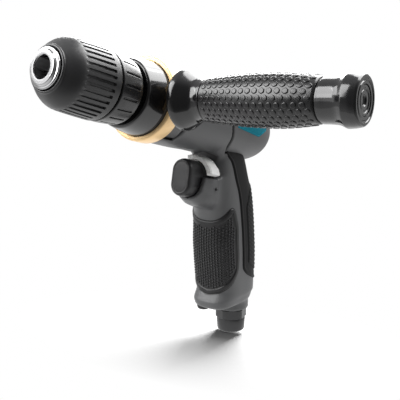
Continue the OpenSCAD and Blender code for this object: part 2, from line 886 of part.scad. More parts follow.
// The rubber strip down the back of the grip
module grip_strip() {
    function row(i, out) = [for (j = [0 : pad_cols])
        let (share = i / pad_rows,
             guess = strip_top_share + share * (strip_side_share - strip_top_share),
             first = lookup(guess, strip_angle_shares),
             angle = first + (360 - 2 * first) * j / pad_cols,
             end = lookup(angle > 180 ? 360 - angle : angle, strip_end_shares))
        grip_point((strip_top_share + share * (end - strip_top_share)) * grip_len, angle, out)];
    color([0.13, 0.13, 0.13])
        grip_frame()
            skin([for (i = [0 : pad_rows]) row(i, pad_gap + pad_t)], [for (i = [0 : pad_rows]) row(i, pad_gap)]);
}

module throttle_bushing() {
    color("goldenrod")
        translate([0, 0, -trigger_drop])
            turned([
                [stem_d / 2 + run, bushing_c], [valve_bore_d / 2 - seat, bushing_c],
                [valve_bore_d / 2 - seat, valve_end + bushing_lip], [stem_d / 2 + run, valve_end + bushing_lip],
                [stem_d / 2 + run, valve_end], [chamber_d / 2, valve_end],
                [chamber_d / 2, valve_seat_c], [stem_d / 2 + run, valve_seat_c]]);
}

module throttle_spring() {
    wire = poppet_d * wire_share;
    color("silver")
        translate([0, 0, -trigger_drop])
            tube(poppet_d / 2, poppet_d / 2 - wire, valve_end - spring_len + air, spring_len - 2 * air);
}

module cross_pin() {
    color("black")
        translate([-cross_pin_c, 0, -trigger_drop - cross_pin_drop])
            rotate([90, 0, 0])
                cylinder(d = cross_pin_d, h = cross_pin_len, center = true);
}

module inlet_bushing() {
    color([0.3, 0.3, 0.3])
        grip_frame()
            difference() {
                union() {
                    translate([0, 0, inlet_hex_c - shank_len + air])
                        cylinder(d = shank_d, h = shank_len);
                    translate([0, 0, inlet_hex_c + seat])
                        cylinder(d = inlet_hex / cos(30), h = inlet_hex_len, $fn = 6);
                    translate([0, 0, inlet_hex_c + inlet_hex_len])
                        cylinder(d = inlet_d, h = inlet_len - inlet_chamfer);
                    translate([0, 0, inlet_end - inlet_chamfer])
                        cylinder(d1 = inlet_d, d2 = inlet_d - 2 * inlet_chamfer, h = inlet_chamfer);
                }
                translate([0, 0, inlet_end - thread_len])
                    cylinder(d = inlet_thread_d, h = thread_len + over);
                translate([0, 0, inlet_hex_c - shank_len])
                    cylinder(d = passage_d, h = far);
            }
}

module inlet_screen() {
    color("gainsboro")
        grip_frame()
            translate([0, 0, inlet_end - thread_len - screen_t])
                cylinder(d = screen_d, h = screen_t);
}

module muffler_pad() {
    color("lightgray")
        difference() {
            exhaust_chamber(air, grip_len - exhaust_cover_t - air - muffler_t, muffler_t);
            base_screw_shank(air, over);
        }
}

module exhaust_cover() {
    color([0.2, 0.2, 0.2])
        difference() {
            exhaust_chamber(seat, grip_len - exhaust_cover_t, exhaust_cover_t);
            base_screw_shank(seat, over);
        }
}

module base_screw() {
    color([0.15, 0.15, 0.15]) {
        base_screw_shank(0, base_screw_head_len / 2);
        grip_frame()
            translate([chamber_a, 0, grip_len])
                cylinder(d = base_screw_head_d, h = base_screw_head_len);
    }
}

// Spindle and chuck

module spindle() {
    thread_r = chuck_thread_d / 2;
    shaft_end = carrier_c;
    color("silver")
        difference() {
            union() {
                rod(thread_r, thread_c + air, chuck_len + over - thread_c);
                rod(flange_d / 2, chuck_len + seat, front_bearing_c - air - chuck_len);
                rod(spindle_d / 2, chuck_len + over, shaft_end - chuck_len);
                rod(orbit_r + planet_pin_d, carrier_c, carrier_t);
            }
            rod(lock_screw_d / 2 + seat, thread_c - over, screw_len);
            planet_places(carrier_c - over)
                cylinder(d = planet_pin_d + 2 * seat, h = carrier_t + 2 * over);
        }
}

// Children at each planet's axis, +Z rearward from c, +X away from the spindle
module planet_places(c) {
    behind(c)
        for (i = [0 : planet_count - 1])
            rotate(i * 360 / planet_count)
                translate([orbit_r, 0, 0])
                    children();
}

module planet_pins() {
    color("silver")
        planet_places(carrier_c + air)
            cylinder(d = planet_pin_d, h = carrier_t + gear_face);
}

module spindle_bearing_inner() {
    color("silver") {
        bearing_ring(spindle_d + 2 * seat, bearing_d, bearing_w, front_bearing_c, false);
        bearing_ring(spindle_d + 2 * seat, bearing_d, bearing_w, rear_bearing_c, false);
    }
}

// One jaw's solid on its slanted axis, grown by a clearance and moved along it
module jaw_rod(grow, from, length) {
    behind(0)
        translate([jaw_r(0), 0, 0])
            rotate([0, jaw_tilt, 0])
                translate([0, 0, from / cos(jaw_tilt)])
                    cylinder(d = jaw_d + 2 * grow, h = length);
}

// Children turned to each jaw about the spindle
module jaw_turn(i) {
    rotate([i * 120, 0, 0])
        children();
}

module chuck_body() {
    groove_r = jaw_r(nut_c) + jaw_reach - groove_floor;
    color("silver")
        difference() {
            turned([
                [0, 0], [nose_face_d / 2, 0], [nose_d / 2, nose_chamfer], [nose_d / 2, nut_c - air],
                [groove_r, nut_c - air], [groove_r, washer_c], [body_d / 2 - washer_t, washer_c],
                [body_d / 2 - washer_t, body_c], [body_d / 2, body_c],
                [body_d / 2, chuck_len], [0, chuck_len]]);
            rod(mouth_d / 2, -over, bore_len + over);
            rod(screw_head_d / 2 + seat, bore_len - over, screw_head_len + over);
            rod(lock_screw_d / 2 + seat, bore_len, chuck_len);
            rod(chuck_thread_d / 2 + seat, thread_c, chuck_len);
            for (i = [0 : 2])
                jaw_turn(i)
                    jaw_rod(seat, 0, jaw_len + jaw_depth / cos(jaw_tilt) + over);
        }
}

module chuck_rear_sleeve() {
    r0 = chuck_r - air;
    r1 = rear_sleeve_d / 2;
    c0 = sleeve_split + sleeve_gap;
    length = chuck_len - c0;
    color([0.18, 0.18, 0.18])
        difference() {
            turned([[body_d / 2 + seat, c0], [r0, c0], [r1, chuck_len], [body_d / 2 + seat, chuck_len]]);
            behind(c0 + slot_margin)
                for (i = [0 : slot_count - 1])
                    rotate(i * 360 / slot_count)
                        translate([r1 - slot_depth, -slot_w / 2, 0])
                            cube([chuck_r, slot_w, length - 2 * slot_margin]);
        }
}

module thrust_washer() {
    color("silver")
        tube(nut_r - jaw_play, body_d / 2 - washer_t + seat, washer_c, washer_t - seat);
}

module lock_screw() {
    color("dimgray")
        difference() {
            union() {
                rod(screw_head_d / 2, bore_len + air, screw_head_len - air);
                rod(lock_screw_d / 2, bore_len + screw_head_len - over, screw_len);
            }
            behind(bore_len - over)
                cylinder(d = lock_screw_d, h = screw_head_len, $fn = 6);
        }
}

module chuck_front_sleeve() {
    inner_r = chuck_r - sleeve_wall;
    flare = atan((chuck_r - shoulder_d / 2) / (sleeve_split - shoulder_c));
    color([0.18, 0.18, 0.18])
        difference() {
            turned([
                [nose_d / 2 + air, nose_proud], [lip_d / 2, nose_proud],
                [shoulder_d / 2, shoulder_c], [chuck_r, sleeve_split],
                [inner_r, sleeve_split], [inner_r, body_c], [nut_r + seat, body_c],
                [nut_r + seat, nut_c - seat], [nose_d / 2 + air, nut_c - seat - (nut_r - nose_d / 2) / 2]]);
            behind(sleeve_split)
                for (i = [0 : flute_count - 1])
                    rotate(i * 360 / flute_count)
                        translate([chuck_r + flute_d / 8, 0, 0])
                            rotate([0, flare, 0])
                                translate([0, 0, flute_start - sleeve_split])
                                    cylinder(d = flute_d, h = flute_end - flute_start);
        }
}

module chuck_nut() {
    r0 = jaw_r(nut_c) + jaw_reach + jaw_play;
    r1 = jaw_r(nut_end) + jaw_reach + jaw_play;
    color("gray")
        turned([[r0, nut_c], [nut_r, nut_c], [nut_r, nut_end], [r1, nut_end]]);
}

module jaw(i) {
    rear_r = chuck_r - sleeve_wall - air;
    apex_r = jaw_close + jaw_play;
    color("gainsboro")
        jaw_turn(i)
            intersection() {
                jaw_rod(0, 0, jaw_len + jaw_depth / cos(jaw_tilt));
                tube(rear_r, mouth_d / 2, jaw_depth, chuck_len);
                behind(0)
                    linear_extrude(chuck_len)
                        translate([apex_r, 0])
                            polygon([[0, 0], [far, far * tan(60)], [far, -far * tan(60)]]);
            }
}

module jaw_1() {
    jaw(0);
}

module jaw_2() {
    jaw(1);
}

module jaw_3() {
    jaw(2);
}

// Planets and rotor

module planet(i) {
    color("steelblue")
        behind(planet_c)
            rotate(i * 360 / planet_count)
                translate([orbit_r, 0, 0])
                    difference() {
                        rotate(180 / gear_teeth)
                            gear(gear_face);
                        translate([0, 0, -over])
                            cylinder(d = planet_pin_d + 2 * run, h = gear_face + 2 * over);
                    }
}

module planet_1() {
    planet(0);
}

module planet_2() {
    planet(1);
}

module planet_3() {
    planet(2);
}

module rotor() {
    body_c0 = motor_c + rotor_play;
    body_len = motor_len - 2 * rotor_play;
    color("gray")
        difference() {
            union() {
                behind(planet_c)
                    gear(gear_face + air);
                rod(rotor_shaft_d / 2, planet_c + gear_face + air / 2, body_c0 - planet_c - gear_face + over);
                rod(rotor_d / 2, body_c0, body_len);
                rod(tail_shaft_d / 2, body_c0 + body_len - over, motor_end - body_c0 - body_len + over);
            }
            vane_places(rotor_d / 2 - vane_h - air)
                translate([0, -vane_t / 2 - seat, -over])
                    cube([vane_h + 2 * over, vane_t + 2 * seat, body_len + 2 * over]);
        }
}

// Children at each vane's foot, +X outward, +Z rearward from the rotor's front
module vane_places(r) {
    behind(motor_c + rotor_play)
        for (i = [0 : vane_count - 1])
            rotate(i * 360 / vane_count)
                translate([r, 0, 0])
                    children();
}

module vanes() {
    color("saddlebrown")
        vane_places(rotor_d / 2 - vane_h - air / 2)
            translate([0, -vane_t / 2, 0])
                cube([vane_h, vane_t, motor_len - 2 * rotor_play]);
}

module rotor_bearing_inner() {
    color("silver") {
        bearing_ring(rotor_shaft_d + 2 * seat, front_rotor_bearing_d, front_rotor_bearing_w, front_plate_c, false);
        bearing_ring(tail_shaft_d + 2 * seat, tail_bearing_d, tail_bearing_w, motor_end - tail_bearing_w, false);
    }
}

// Trigger and reversing lever

module trigger_cap() {
    color([0.22, 0.22, 0.22])
        difference() {
            union() {
                trigger_frame(trigger_c)
                    stadium(trigger_w - 2 * trigger_round, trigger_h - 2 * trigger_round, trigger_len);
                trigger_frame(trigger_c + trigger_round)
                    stadium(trigger_w, trigger_h, trigger_len - trigger_round);
            }
            trigger_frame(trigger_c + trigger_len - trigger_round * 4)
                cylinder(d = stem_d + 2 * seat, h = trigger_len);
            translate([-cross_pin_c + trigger_travel + cross_pin_d / 2 + pocket_gap - far,
                -far / 2, -trigger_drop - cross_pin_drop - cross_pin_d / 2 - pocket_gap])
                cube([far, far, cross_pin_d + 2 * pocket_gap]);
        }
}

module trigger_stem() {
    stem_c = trigger_c + trigger_len - trigger_round * 4;
    poppet_c = valve_seat_c + air;
    color("silver")
        translate([0, 0, -trigger_drop]) {
            rod(stem_d / 2, stem_c, poppet_c - stem_c + over);
            rod(poppet_d / 2, poppet_c, poppet_t);
        }
}

module reverse_lever() {
    inner_r = lever_r - lever_t;
    color("darkgray")
        difference() {
            union() {
                trigger_frame(lever_c)
                    rotate(90 - lever_start - lever_arc)
                        rotate_extrude(angle = lever_arc)
                            translate([inner_r, 0])
                                square([lever_t, lever_len]);
                trigger_frame(hub_c)
                    rotate(90 - lever_start - lever_arc)
                        rotate_extrude(angle = lever_arc)
                            square([inner_r + lever_t / 2, lever_hub_t]);
                trigger_frame(hub_c)
                    cylinder(d = lever_hub_d, h = lever_hub_t);
            }
            trigger_frame(hub_c - over)
                cylinder(d = reverse_bore_d, h = lever_hub_t + 2 * over);
        }
}

module reverse_valve() {
    color("goldenrod")
        translate([0, 0, -trigger_drop])
            tube(valve_bore_d / 2 - run, reverse_bore_d / 2, hub_end, reverse_valve_len);
}

// Side handle

module clamp_ring() {
    color([0.92, 0.76, 0.55])
        difference() {
            union() {
                rod(clamp_d / 2, clamp_c, clamp_w);
                translate([-clamp_c - clamp_w, 0, -ear_h / 2])
                    cube([clamp_w, guard_s - air, ear_h]);
            }
            rod(clamp_bore_r, clamp_c - over, clamp_w + 2 * over);
            handle_frame()
                cylinder(d = stud_d, h = guard_s);
        }
}

module handle_core() {
    neck_r = handle_neck_d / 2;
    rubber_end = rubber_s + rubber_len;
    tail_end = rubber_end + tail_len;
    guard_r = guard_d / 2;
    color([0.06, 0.06, 0.06])
        handle_frame()
            difference() {
                rotate_extrude()
                    polygon([
                        [0, guard_s], [neck_r, guard_s], [guard_r - guard_edge, guard_s + guard_edge / 2],
                        [guard_r, guard_s + guard_edge], [guard_r - guard_edge / 2, guard_s + 2 * guard_edge],
                        [(guard_r + neck_r) / 2, guard_s + guard_dome * dome_share],
                        [neck_r, guard_s + guard_dome + guard_edge], [neck_r, rubber_s],
                        [core_d / 2, rubber_s], [core_d / 2, rubber_end], [tail_neck_d / 2, rubber_end],
                        [tail_neck_d / 2, rubber_end + tail_neck_len],
                        [tail_d / 2, rubber_end + tail_neck_len + tail_flare_len],
                        [tail_end_d / 2, tail_end], [0, tail_end]]);
                translate([0, 0, guard_s - over])
                    cylinder(d = stud_d + 2 * seat, h = stud_grip + over);
                translate([0, 0, tail_end - plug_len])
                    cylinder(d = plug_d + 2 * seat, h = plug_len + over);
            }
}

module handle_rubber() {
    function end_r(t) = (rubber_front_d + (rubber_end_d - rubber_front_d) * t) / 2;
    function side(t) = t < swell_share ? sin(90 * t / swell_share) : cos(90 * (t - swell_share) / (1 - swell_share));
    color([0.16, 0.16, 0.16])
        handle_frame()
            rotate_extrude()
                polygon(concat(
                    [[core_d / 2 + seat, rubber_s + rubber_len - seat], [core_d / 2 + seat, rubber_s + seat]],
                    [for (i = [0 : rubber_steps]) let (t = i / rubber_steps)
                        [end_r(t) + (rubber_d / 2 - end_r(t)) * side(t), rubber_s + seat + t * (rubber_len - 2 * seat)]]));
}

module handle_stud() {
    color("silver")
        handle_frame()
            translate([0, 0, clamp_seat_r + air])
                cylinder(d = stud_d - 2 * run, h = guard_s + stud_grip - air - clamp_seat_r - air);
}

module handle_end_plug() {
    tail_end = rubber_s + rubber_len + tail_len;
    color([0.06, 0.06, 0.06])
        handle_frame()
            difference() {
                translate([0, 0, tail_end - plug_len + seat])
                    cylinder(d = plug_d, h = plug_len - seat - plug_groove);
                translate([0, 0, tail_end - plug_groove * 3])
                    cylinder(d = plug_d / 3, h = plug_len);
            }
}

main_housing();
rear_cover();
cover_screws();
gear_case();
front_collar();
ring_gear();
spindle_bearing_outer();
spindle_bearing_balls();
motor_cylinder();
front_end_plate();
rear_end_plate();
rotor_bearing_outer();
rotor_bearing_balls();
side_insert_left();
side_insert_right();
grip_pad();
grip_strip();
throttle_bushing();
throttle_spring();
cross_pin();
inlet_bushing();
inlet_screen();
muffler_pad();
exhaust_cover();
base_screw();
spindle();
planet_pins();
spindle_bearing_inner();
chuck_body();
chuck_rear_sleeve();
thrust_washer();
lock_screw();
chuck_front_sleeve();
chuck_nut();
jaw_1();
jaw_2();
jaw_3();
planet_1();
planet_2();
planet_3();
rotor();
vanes();
rotor_bearing_inner();
trigger_cap();
trigger_stem();
reverse_lever();
reverse_valve();
clamp_ring();
handle_core();
handle_rubber();
handle_stud();
handle_end_plug();
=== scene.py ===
import json
import math

import bmesh
import bpy
import numpy as np
from mathutils import Matrix, Vector
from mathutils.geometry import delaunay_2d_cdt


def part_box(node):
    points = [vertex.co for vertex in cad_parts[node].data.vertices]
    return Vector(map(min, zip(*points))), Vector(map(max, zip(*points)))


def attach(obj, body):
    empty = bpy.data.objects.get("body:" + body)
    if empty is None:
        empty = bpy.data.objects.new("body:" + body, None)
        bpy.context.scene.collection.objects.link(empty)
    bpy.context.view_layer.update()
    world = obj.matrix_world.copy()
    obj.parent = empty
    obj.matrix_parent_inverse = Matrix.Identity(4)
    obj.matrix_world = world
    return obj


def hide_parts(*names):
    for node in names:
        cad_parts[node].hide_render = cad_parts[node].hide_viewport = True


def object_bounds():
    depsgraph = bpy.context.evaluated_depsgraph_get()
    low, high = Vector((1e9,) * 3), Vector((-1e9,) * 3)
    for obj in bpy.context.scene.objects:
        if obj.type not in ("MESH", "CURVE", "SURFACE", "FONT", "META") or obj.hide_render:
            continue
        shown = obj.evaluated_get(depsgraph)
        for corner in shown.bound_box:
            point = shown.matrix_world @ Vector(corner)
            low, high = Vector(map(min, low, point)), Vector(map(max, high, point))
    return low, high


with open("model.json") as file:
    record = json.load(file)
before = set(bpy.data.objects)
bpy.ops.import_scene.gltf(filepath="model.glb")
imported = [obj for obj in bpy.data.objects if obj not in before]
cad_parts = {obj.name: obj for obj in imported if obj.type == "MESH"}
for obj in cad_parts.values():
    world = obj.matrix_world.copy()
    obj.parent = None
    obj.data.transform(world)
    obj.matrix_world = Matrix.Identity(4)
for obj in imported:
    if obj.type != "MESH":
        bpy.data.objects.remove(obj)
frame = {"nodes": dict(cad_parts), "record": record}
scene = bpy.context.scene
CAD_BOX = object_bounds()
MM = 0.001

# Places and sizes in millimetres; c is the distance behind the chuck's mouth
BARREL_R, TOOL_LEN, HOUSING_C = 26, 222, 102.5
REAR_ROUND, REAR_TAPER = 15, 45
NECK_C, TONGUE_Z = 91.3, -22.6
HANDLE_C = 84.6
TRIGGER_Z, TRIGGER_C, TRIGGER_W, TRIGGER_H = -44.6, 130, 17.1, 26.9
SCREW_R, SCREW_TURNS = 13, [math.pi / 4 + k * math.pi / 2 for k in range(4)]

# The grip's own frame: a goes forward and d down its raked axis, from a point on the barrel's axis
GRIP_C, RAKE, GRIP_LEN = 188.5, math.radians(12), 138
SIN, COS = math.sin(RAKE), math.cos(RAKE)
GRIP_DEPTH, GRIP_W, GRIP_POWER = 51.5, 36.5, 3.2
# Shares down the grip: place, rear edge, front edge and half width
GRIP_SHARES = np.array([
    [0, 0.058, 0.709, 0.4], [0.116, 0.058, 0.709, 0.411], [0.174, 0, 0.709, 0.452],
    [0.268, -0.083, 0.705, 0.477], [0.341, -0.157, 0.699, 0.49], [0.435, -0.21, 0.691, 0.499],
    [0.522, -0.245, 0.672, 0.499], [0.609, -0.272, 0.683, 0.499], [0.703, -0.291, 0.666, 0.499],
    [0.804, -0.291, 0.637, 0.496], [0.895, -0.295, 0.619, 0.493], [0.931, -0.295, 0.67, 0.493],
    [0.953, -0.272, 0.715, 0.471], [0.978, -0.243, 0.699, 0.45], [1, -0.175, 0.645, 0.39]])

# Cradle behind the trigger: half width, depth and corner along c, and its slanted front edge
CRADLE_WIDTH = ([140, 142, 152, 160, 168], [11.3, 11.6, 13, 13.4, 12])
CRADLE_DEPTH = ([140.2, 142, 148.5, 156, 163.4, 172], [14.9, 15.9, 18.6, 19.7, 20.6, 23])
CRADLE_CORNER = ([140, 150, 170], [10.4, 9.5, 8])
CRADLE_LIP_C, CRADLE_LIP_LEAN, CRADLE_LIP_H = 143.4, 3.3, 14.8
CRADLE_TOP, CRADLE_END_C = 2, 168

# Room for the trigger and the lever, and the boss round the inlet
TRIGGER_GAP, TRIGGER_ROOM_C = 0.4, 156
LEVER_ROOM_R = ([115, 138, 200], [18.3, 21.4, 21.4])
LEVER_ROOM_C, LEVER_ROOM_FOOT = 157.6, 2.05
BOSS_R, BOSS_TOP, BOSS_FOOT = 14, 120, 145

# Seam between the housing and its rear cover: x along z; it slants, so a step in x counts a little less
SEAM_Z = [-27, -23, -21, -19, -17, -15, -11.5, -8, -6, -4, -1, 27]
SEAM_X = [-163.5, -161.5, -160.2, -158.6, -157.4, -156.8, -155.6, -153.4, -152, -151, -150.4, -150]
SEAM_SLANT, SEAM_GAP, SEAM_SETBACK = 0.9, 1.35, 0.9
SCREW_HOLE_R, SCREW_HOLE_DEPTH = 3, 6.4


# Meshes

def add_mesh(name, verts, faces, sharp=None):
    """A smooth-shaded piece from millimetre points; edges above an angle in degrees stay sharp."""
    mesh = bpy.data.meshes.new(name)
    mesh.from_pydata((np.asarray(verts, float) * MM).tolist(), [], [list(f) for f in faces])
    bm = bmesh.new()
    bm.from_mesh(mesh)
    bmesh.ops.recalc_face_normals(bm, faces=bm.faces)
    bm.to_mesh(mesh)
    bm.free()
    mesh.shade_smooth()
    if sharp:
        mesh.set_sharp_from_angle(angle=math.radians(sharp))
    obj = bpy.data.objects.new(name, mesh)
    scene.collection.objects.link(obj)
    return obj


def finish_piece(obj, body, slot, *nodes, look=None):
    """Puts a piece on its body with its look, and hides the solids it stands for."""
    obj.data.materials.append(LOOKS[look or slot])
    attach(obj, body)
    if nodes:
        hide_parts(*nodes)


def unit(v):
    return v / np.linalg.norm(v, axis=-1, keepdims=True)


def toward(a, b, distance):
    """The point a distance from a on the way to b."""
    return a + unit(b - a) * distance


def bend(start, corner, end, steps):
    """Points of a smooth bend round a corner."""
    return [(1 - t) ** 2 * start + 2 * t * (1 - t) * corner + t ** 2 * end
            for t in np.linspace(0, 1, steps + 1)]


def rounded(points, steps=6):
    """A polyline of (along, radius, fillet) corners with each fillet drawn as a smooth bend."""
    corners = [np.array(p[:2], float) for p in points]
    out = [corners[0]]
    for i in range(1, len(points) - 1):
        before, corner, after = corners[i - 1:i + 2]
        if len(points[i]) < 3:
            out.append(corner)
            continue
        room = min(np.linalg.norm(before - corner), np.linalg.norm(after - corner)) * 0.49
        reach = min(points[i][2], room)
        out += bend(toward(corner, before, reach), corner, toward(corner, after, reach), steps)
    return np.array(out + [corners[-1]])


def dense(profile, spacing):
    """The same polyline with no step longer than a spacing."""
    out = [profile[0]]
    for a, b in zip(profile[:-1], profile[1:]):
        n = max(1, int(math.ceil(np.linalg.norm(b - a) / spacing)))
        out += [a + (b - a) * k / n for k in range(1, n + 1)]
    return np.array(out)


def even_turns(count):
    return np.linspace(0, 2 * math.pi, count, endpoint=False)


def across(c, y, z):
    """Points at one distance behind the chuck's mouth."""
    return np.stack([np.full(len(y), -c), y, z], 1)


def on_barrel(along, radius, turn):
    return np.stack([-along, radius * np.sin(turn), radius * np.cos(turn)], -1)


def on_handle(along, radius, turn):
    return np.stack([-HANDLE_C + radius * np.sin(turn), along, radius * np.cos(turn)], -1)


def on_inlet(along, radius, turn):
    return from_grip(np.stack([radius * np.cos(turn), radius * np.sin(turn), along + 0 * turn], -1))


def from_grip(q):
    """World points from (forward, side, down the inlet's axis)."""
    return np.stack([-GRIP_C + q[..., 0] * COS - q[..., 2] * SIN, q[..., 1],
                     -q[..., 0] * SIN - q[..., 2] * COS], -1)


def bands(rows, count, start=0, closed=False):
    """Faces between neighbouring rings of points, from the number of their first point."""
    faces = []
    for row in range(rows if closed else rows - 1):
        a = start + row * count
        b = start + (row + 1) % rows * count
        faces += [(a + k, a + (k + 1) % count, b + (k + 1) % count, b + k) for k in range(count)]
    return faces


def lid(row, count, start=0):
    """One face across a ring."""
    return tuple(start + row * count + k for k in range(count))


def drum(rows, count, start=0):
    """Bands with a lid at both ends."""
    return bands(rows, count, start) + [lid(0, count, start), lid(rows - 1, count, start)]


def dome(rows, count, start):
    """Bands that end in the one point after the last ring."""
    last = start + (rows - 1) * count
    tip = [(last + k, last + (k + 1) % count, last + count) for k in range(count)]
    return bands(rows, count, start) + tip


def turned(profile, place, segments, relief=None):
    """Points round an axis, ring by ring; relief(along, radius, turn) gives the change of radius."""
    along, radius, turn = np.broadcast_arrays(profile[:, :1], profile[:, 1:], even_turns(segments)[None])
    if relief:
        radius = radius + relief(along, radius, turn)
    return place(along, radius, turn).reshape(-1, 3)


def lathe(name, profile, place, segments, relief=None, closed=True, sharp=32):
    """A turned piece, with its profile closed to a tube or with a lid at both ends."""
    rows = len(profile)
    faces = bands(rows, segments, closed=True) if closed else drum(rows, segments)
    return add_mesh(name, turned(profile, place, segments, relief), faces, sharp)


def loft(name, loops, sharp, caps=True):
    """A piece through closed loops of equal count."""
    rows, count = len(loops), len(loops[0])
    faces = drum(rows, count) if caps else bands(rows, count)
    return add_mesh(name, np.concatenate(loops), faces, sharp)


def ramp(x, start, width):
    """Rises smoothly from 0 to 1 over a width."""
    t = np.clip((x - start) / width, 0, 1)
    return t * t * (3 - 2 * t)


# Solid fields of the housing: negative inside, about the distance to the skin

def smooth_min(a, b, k):
    h = np.clip(0.5 + 0.5 * (b - a) / k, 0, 1)
    return b + (a - b) * h - k * h * (1 - h)


def smooth_max(a, b, k):
    return -smooth_min(-a, -b, k)


def spline(x, y, n=400):
    """A dense table of a smooth curve through points that doesn't overshoot."""
    x, y = np.asarray(x, float), np.asarray(y, float)
    slope = np.diff(y) / np.diff(x)
    inner = [2 * a * b / (a + b) if a * b > 0 else 0 for a, b in zip(slope[:-1], slope[1:])]
    tangent = np.array([slope[0], *inner, slope[-1]])
    grid = np.linspace(x[0], x[-1], n)
    i = np.clip(np.searchsorted(x, grid) - 1, 0, len(x) - 2)
    h = x[i + 1] - x[i]
    t = (grid - x[i]) / h
    value = ((2 * t ** 3 - 3 * t ** 2 + 1) * y[i] + (t ** 3 - 2 * t ** 2 + t) * h * tangent[i]
             + (-2 * t ** 3 + 3 * t ** 2) * y[i + 1] + (t ** 3 - t ** 2) * h * tangent[i + 1])
    return grid, value


ROW_D = GRIP_SHARES[:, 0] * GRIP_LEN
REAR = spline(ROW_D, GRIP_SHARES[:, 1] * GRIP_DEPTH)
FRONT = spline(ROW_D, GRIP_SHARES[:, 2] * GRIP_DEPTH)
HALF = spline(ROW_D, GRIP_SHARES[:, 3] * GRIP_W)


def grip_coords(p):
    dx = p[:, 0] + GRIP_C
    return dx * COS - p[:, 2] * SIN, p[:, 1], -dx * SIN - p[:, 2] * COS


def grip_section(a, y, d):
    rear, front, half = np.interp(d, *REAR), np.interp(d, *FRONT), np.interp(d, *HALF)
    ra = (front - rear) / 2
    u, v = np.abs(a - (front + rear) / 2) / ra, np.abs(y) / half
    g = (u ** GRIP_POWER + v ** GRIP_POWER) ** (1 / GRIP_POWER) + 1e-9
    slope = np.hypot((u / g) ** (GRIP_POWER - 1) / ra, (v / g) ** (GRIP_POWER - 1) / half)
    return (g - 1) / np.maximum(slope, 0.02)


def grip_field(p):
    a, y, d = grip_coords(p)
    return smooth_max(smooth_max(grip_section(a, y, d), d - GRIP_LEN, 2.5), 4 - d, 1)


def barrel_field(p):
    """The barrel with its long elliptical rear, and the tongue that reaches under the gear case."""
    c, rho = -p[:, 0], np.hypot(p[:, 1], p[:, 2])
    squash = REAR_ROUND / REAR_TAPER
    u, w = (c - (TOOL_LEN - REAR_TAPER)) * squash, rho - (BARREL_R - REAR_ROUND)
    over_u, over_w = np.maximum(u, 0), np.maximum(w, 0)
    outside = np.hypot(over_u, over_w)
    slope = np.hypot(over_u * squash, over_w) / np.maximum(outside, 1e-6)
    slope = np.where(outside > 1e-6, np.maximum(slope, squash), 1)
    tube = (outside + np.minimum(np.maximum(u, w), 0) - REAR_ROUND) / slope
    tongue = smooth_max(NECK_C - c, p[:, 2] - TONGUE_Z, 1.2)
    return smooth_max(tube, np.minimum(HOUSING_C - c, tongue), 1.6)


def trigger_coords(p):
    """Distance behind the mouth, side and height from the trigger's middle."""
    return -p[:, 0], p[:, 1], p[:, 2] - TRIGGER_Z


def cradle_field(p):
    c, y, z = trigger_coords(p)
    corner = np.interp(c, *CRADLE_CORNER)
    qy, qz = np.abs(y) - (np.interp(c, *CRADLE_WIDTH) - corner), -z - (np.interp(c, *CRADLE_DEPTH) - corner)
    cup = np.hypot(np.maximum(qy, 0), np.maximum(qz, 0)) + np.minimum(np.maximum(qy, qz), 0) - corner
    lip = CRADLE_LIP_C - CRADLE_LIP_LEAN * np.clip(-z / CRADLE_LIP_H, 0, 1.2) - c
    return smooth_max(smooth_max(smooth_max(cup, z - CRADLE_TOP, 1), lip, 1.2), c - CRADLE_END_C, 3)


def trigger_space(p):
    c, y, z = trigger_coords(p)
    r = TRIGGER_W / 2 + TRIGGER_GAP
    reach = np.maximum(np.abs(z) - (TRIGGER_H / 2 + TRIGGER_GAP - r), 0)
    return np.maximum(np.hypot(y, reach) - r, c - TRIGGER_ROOM_C)


def lever_space(p):
    """Room for the lever: a round recess that reaches a little into the barrel's underside."""
    c, y, z = trigger_coords(p)
    recess = np.maximum(np.hypot(y, z) - np.interp(c, *LEVER_ROOM_R), c - LEVER_ROOM_C)
    return np.maximum(recess, LEVER_ROOM_FOOT - z)


def boss_field(p):
    a, y, d = grip_coords(p)
    return smooth_max(smooth_max(np.hypot(a, y) - BOSS_R, d - BOSS_FOOT, 1.4), BOSS_TOP - d, 1)


def house_field(p):
    """The housing's outer form: barrel, grip, cradle and boss run into each other."""
    blend = np.interp(p[:, 0], [-168, -159], [1, 8])
    body = smooth_min(barrel_field(p), grip_field(p), blend)
    body = smooth_min(body, cradle_field(p), 6)
    return smooth_min(body, boss_field(p), 2.2)


def before_seam(p):
    """About the distance in front of the seam, negative behind it."""
    return (p[:, 0] - np.interp(p[:, 2], SEAM_Z, SEAM_X)) * SEAM_SLANT


def main_field(p):
    cover = np.maximum(barrel_field(p), before_seam(p))
    body = np.maximum(house_field(p), -trigger_space(p))
    body = smooth_max(body, -lever_space(p), 0.8)
    return smooth_max(body, SEAM_GAP - cover, 0.5)


def rear_field(p):
    body = smooth_max(barrel_field(p), before_seam(p) + SEAM_SETBACK, 0.6)
    for turn in SCREW_TURNS:
        across = np.hypot(p[:, 1] - SCREW_R * math.sin(turn), p[:, 2] - SCREW_R * math.cos(turn))
        hole = np.maximum(across - SCREW_HOLE_R, TOOL_LEN - SCREW_HOLE_DEPTH + p[:, 0])
        body = smooth_max(body, -hole, 0.4)
    return body


def seam_shade_field(p):
    """A dark band just under the barrel's skin that fills the seam: a painted shade for the gap."""
    shell, ahead = barrel_field(p), before_seam(p)
    return np.maximum(np.maximum(shell + 0.3, -2.2 - shell), np.maximum(ahead - 1.25, -0.8 - ahead))


def slope_of(field, p, h=0.04):
    return np.stack([(field(p + step) - field(p - step)) / (2 * h) for step in np.eye(3) * h], 1)


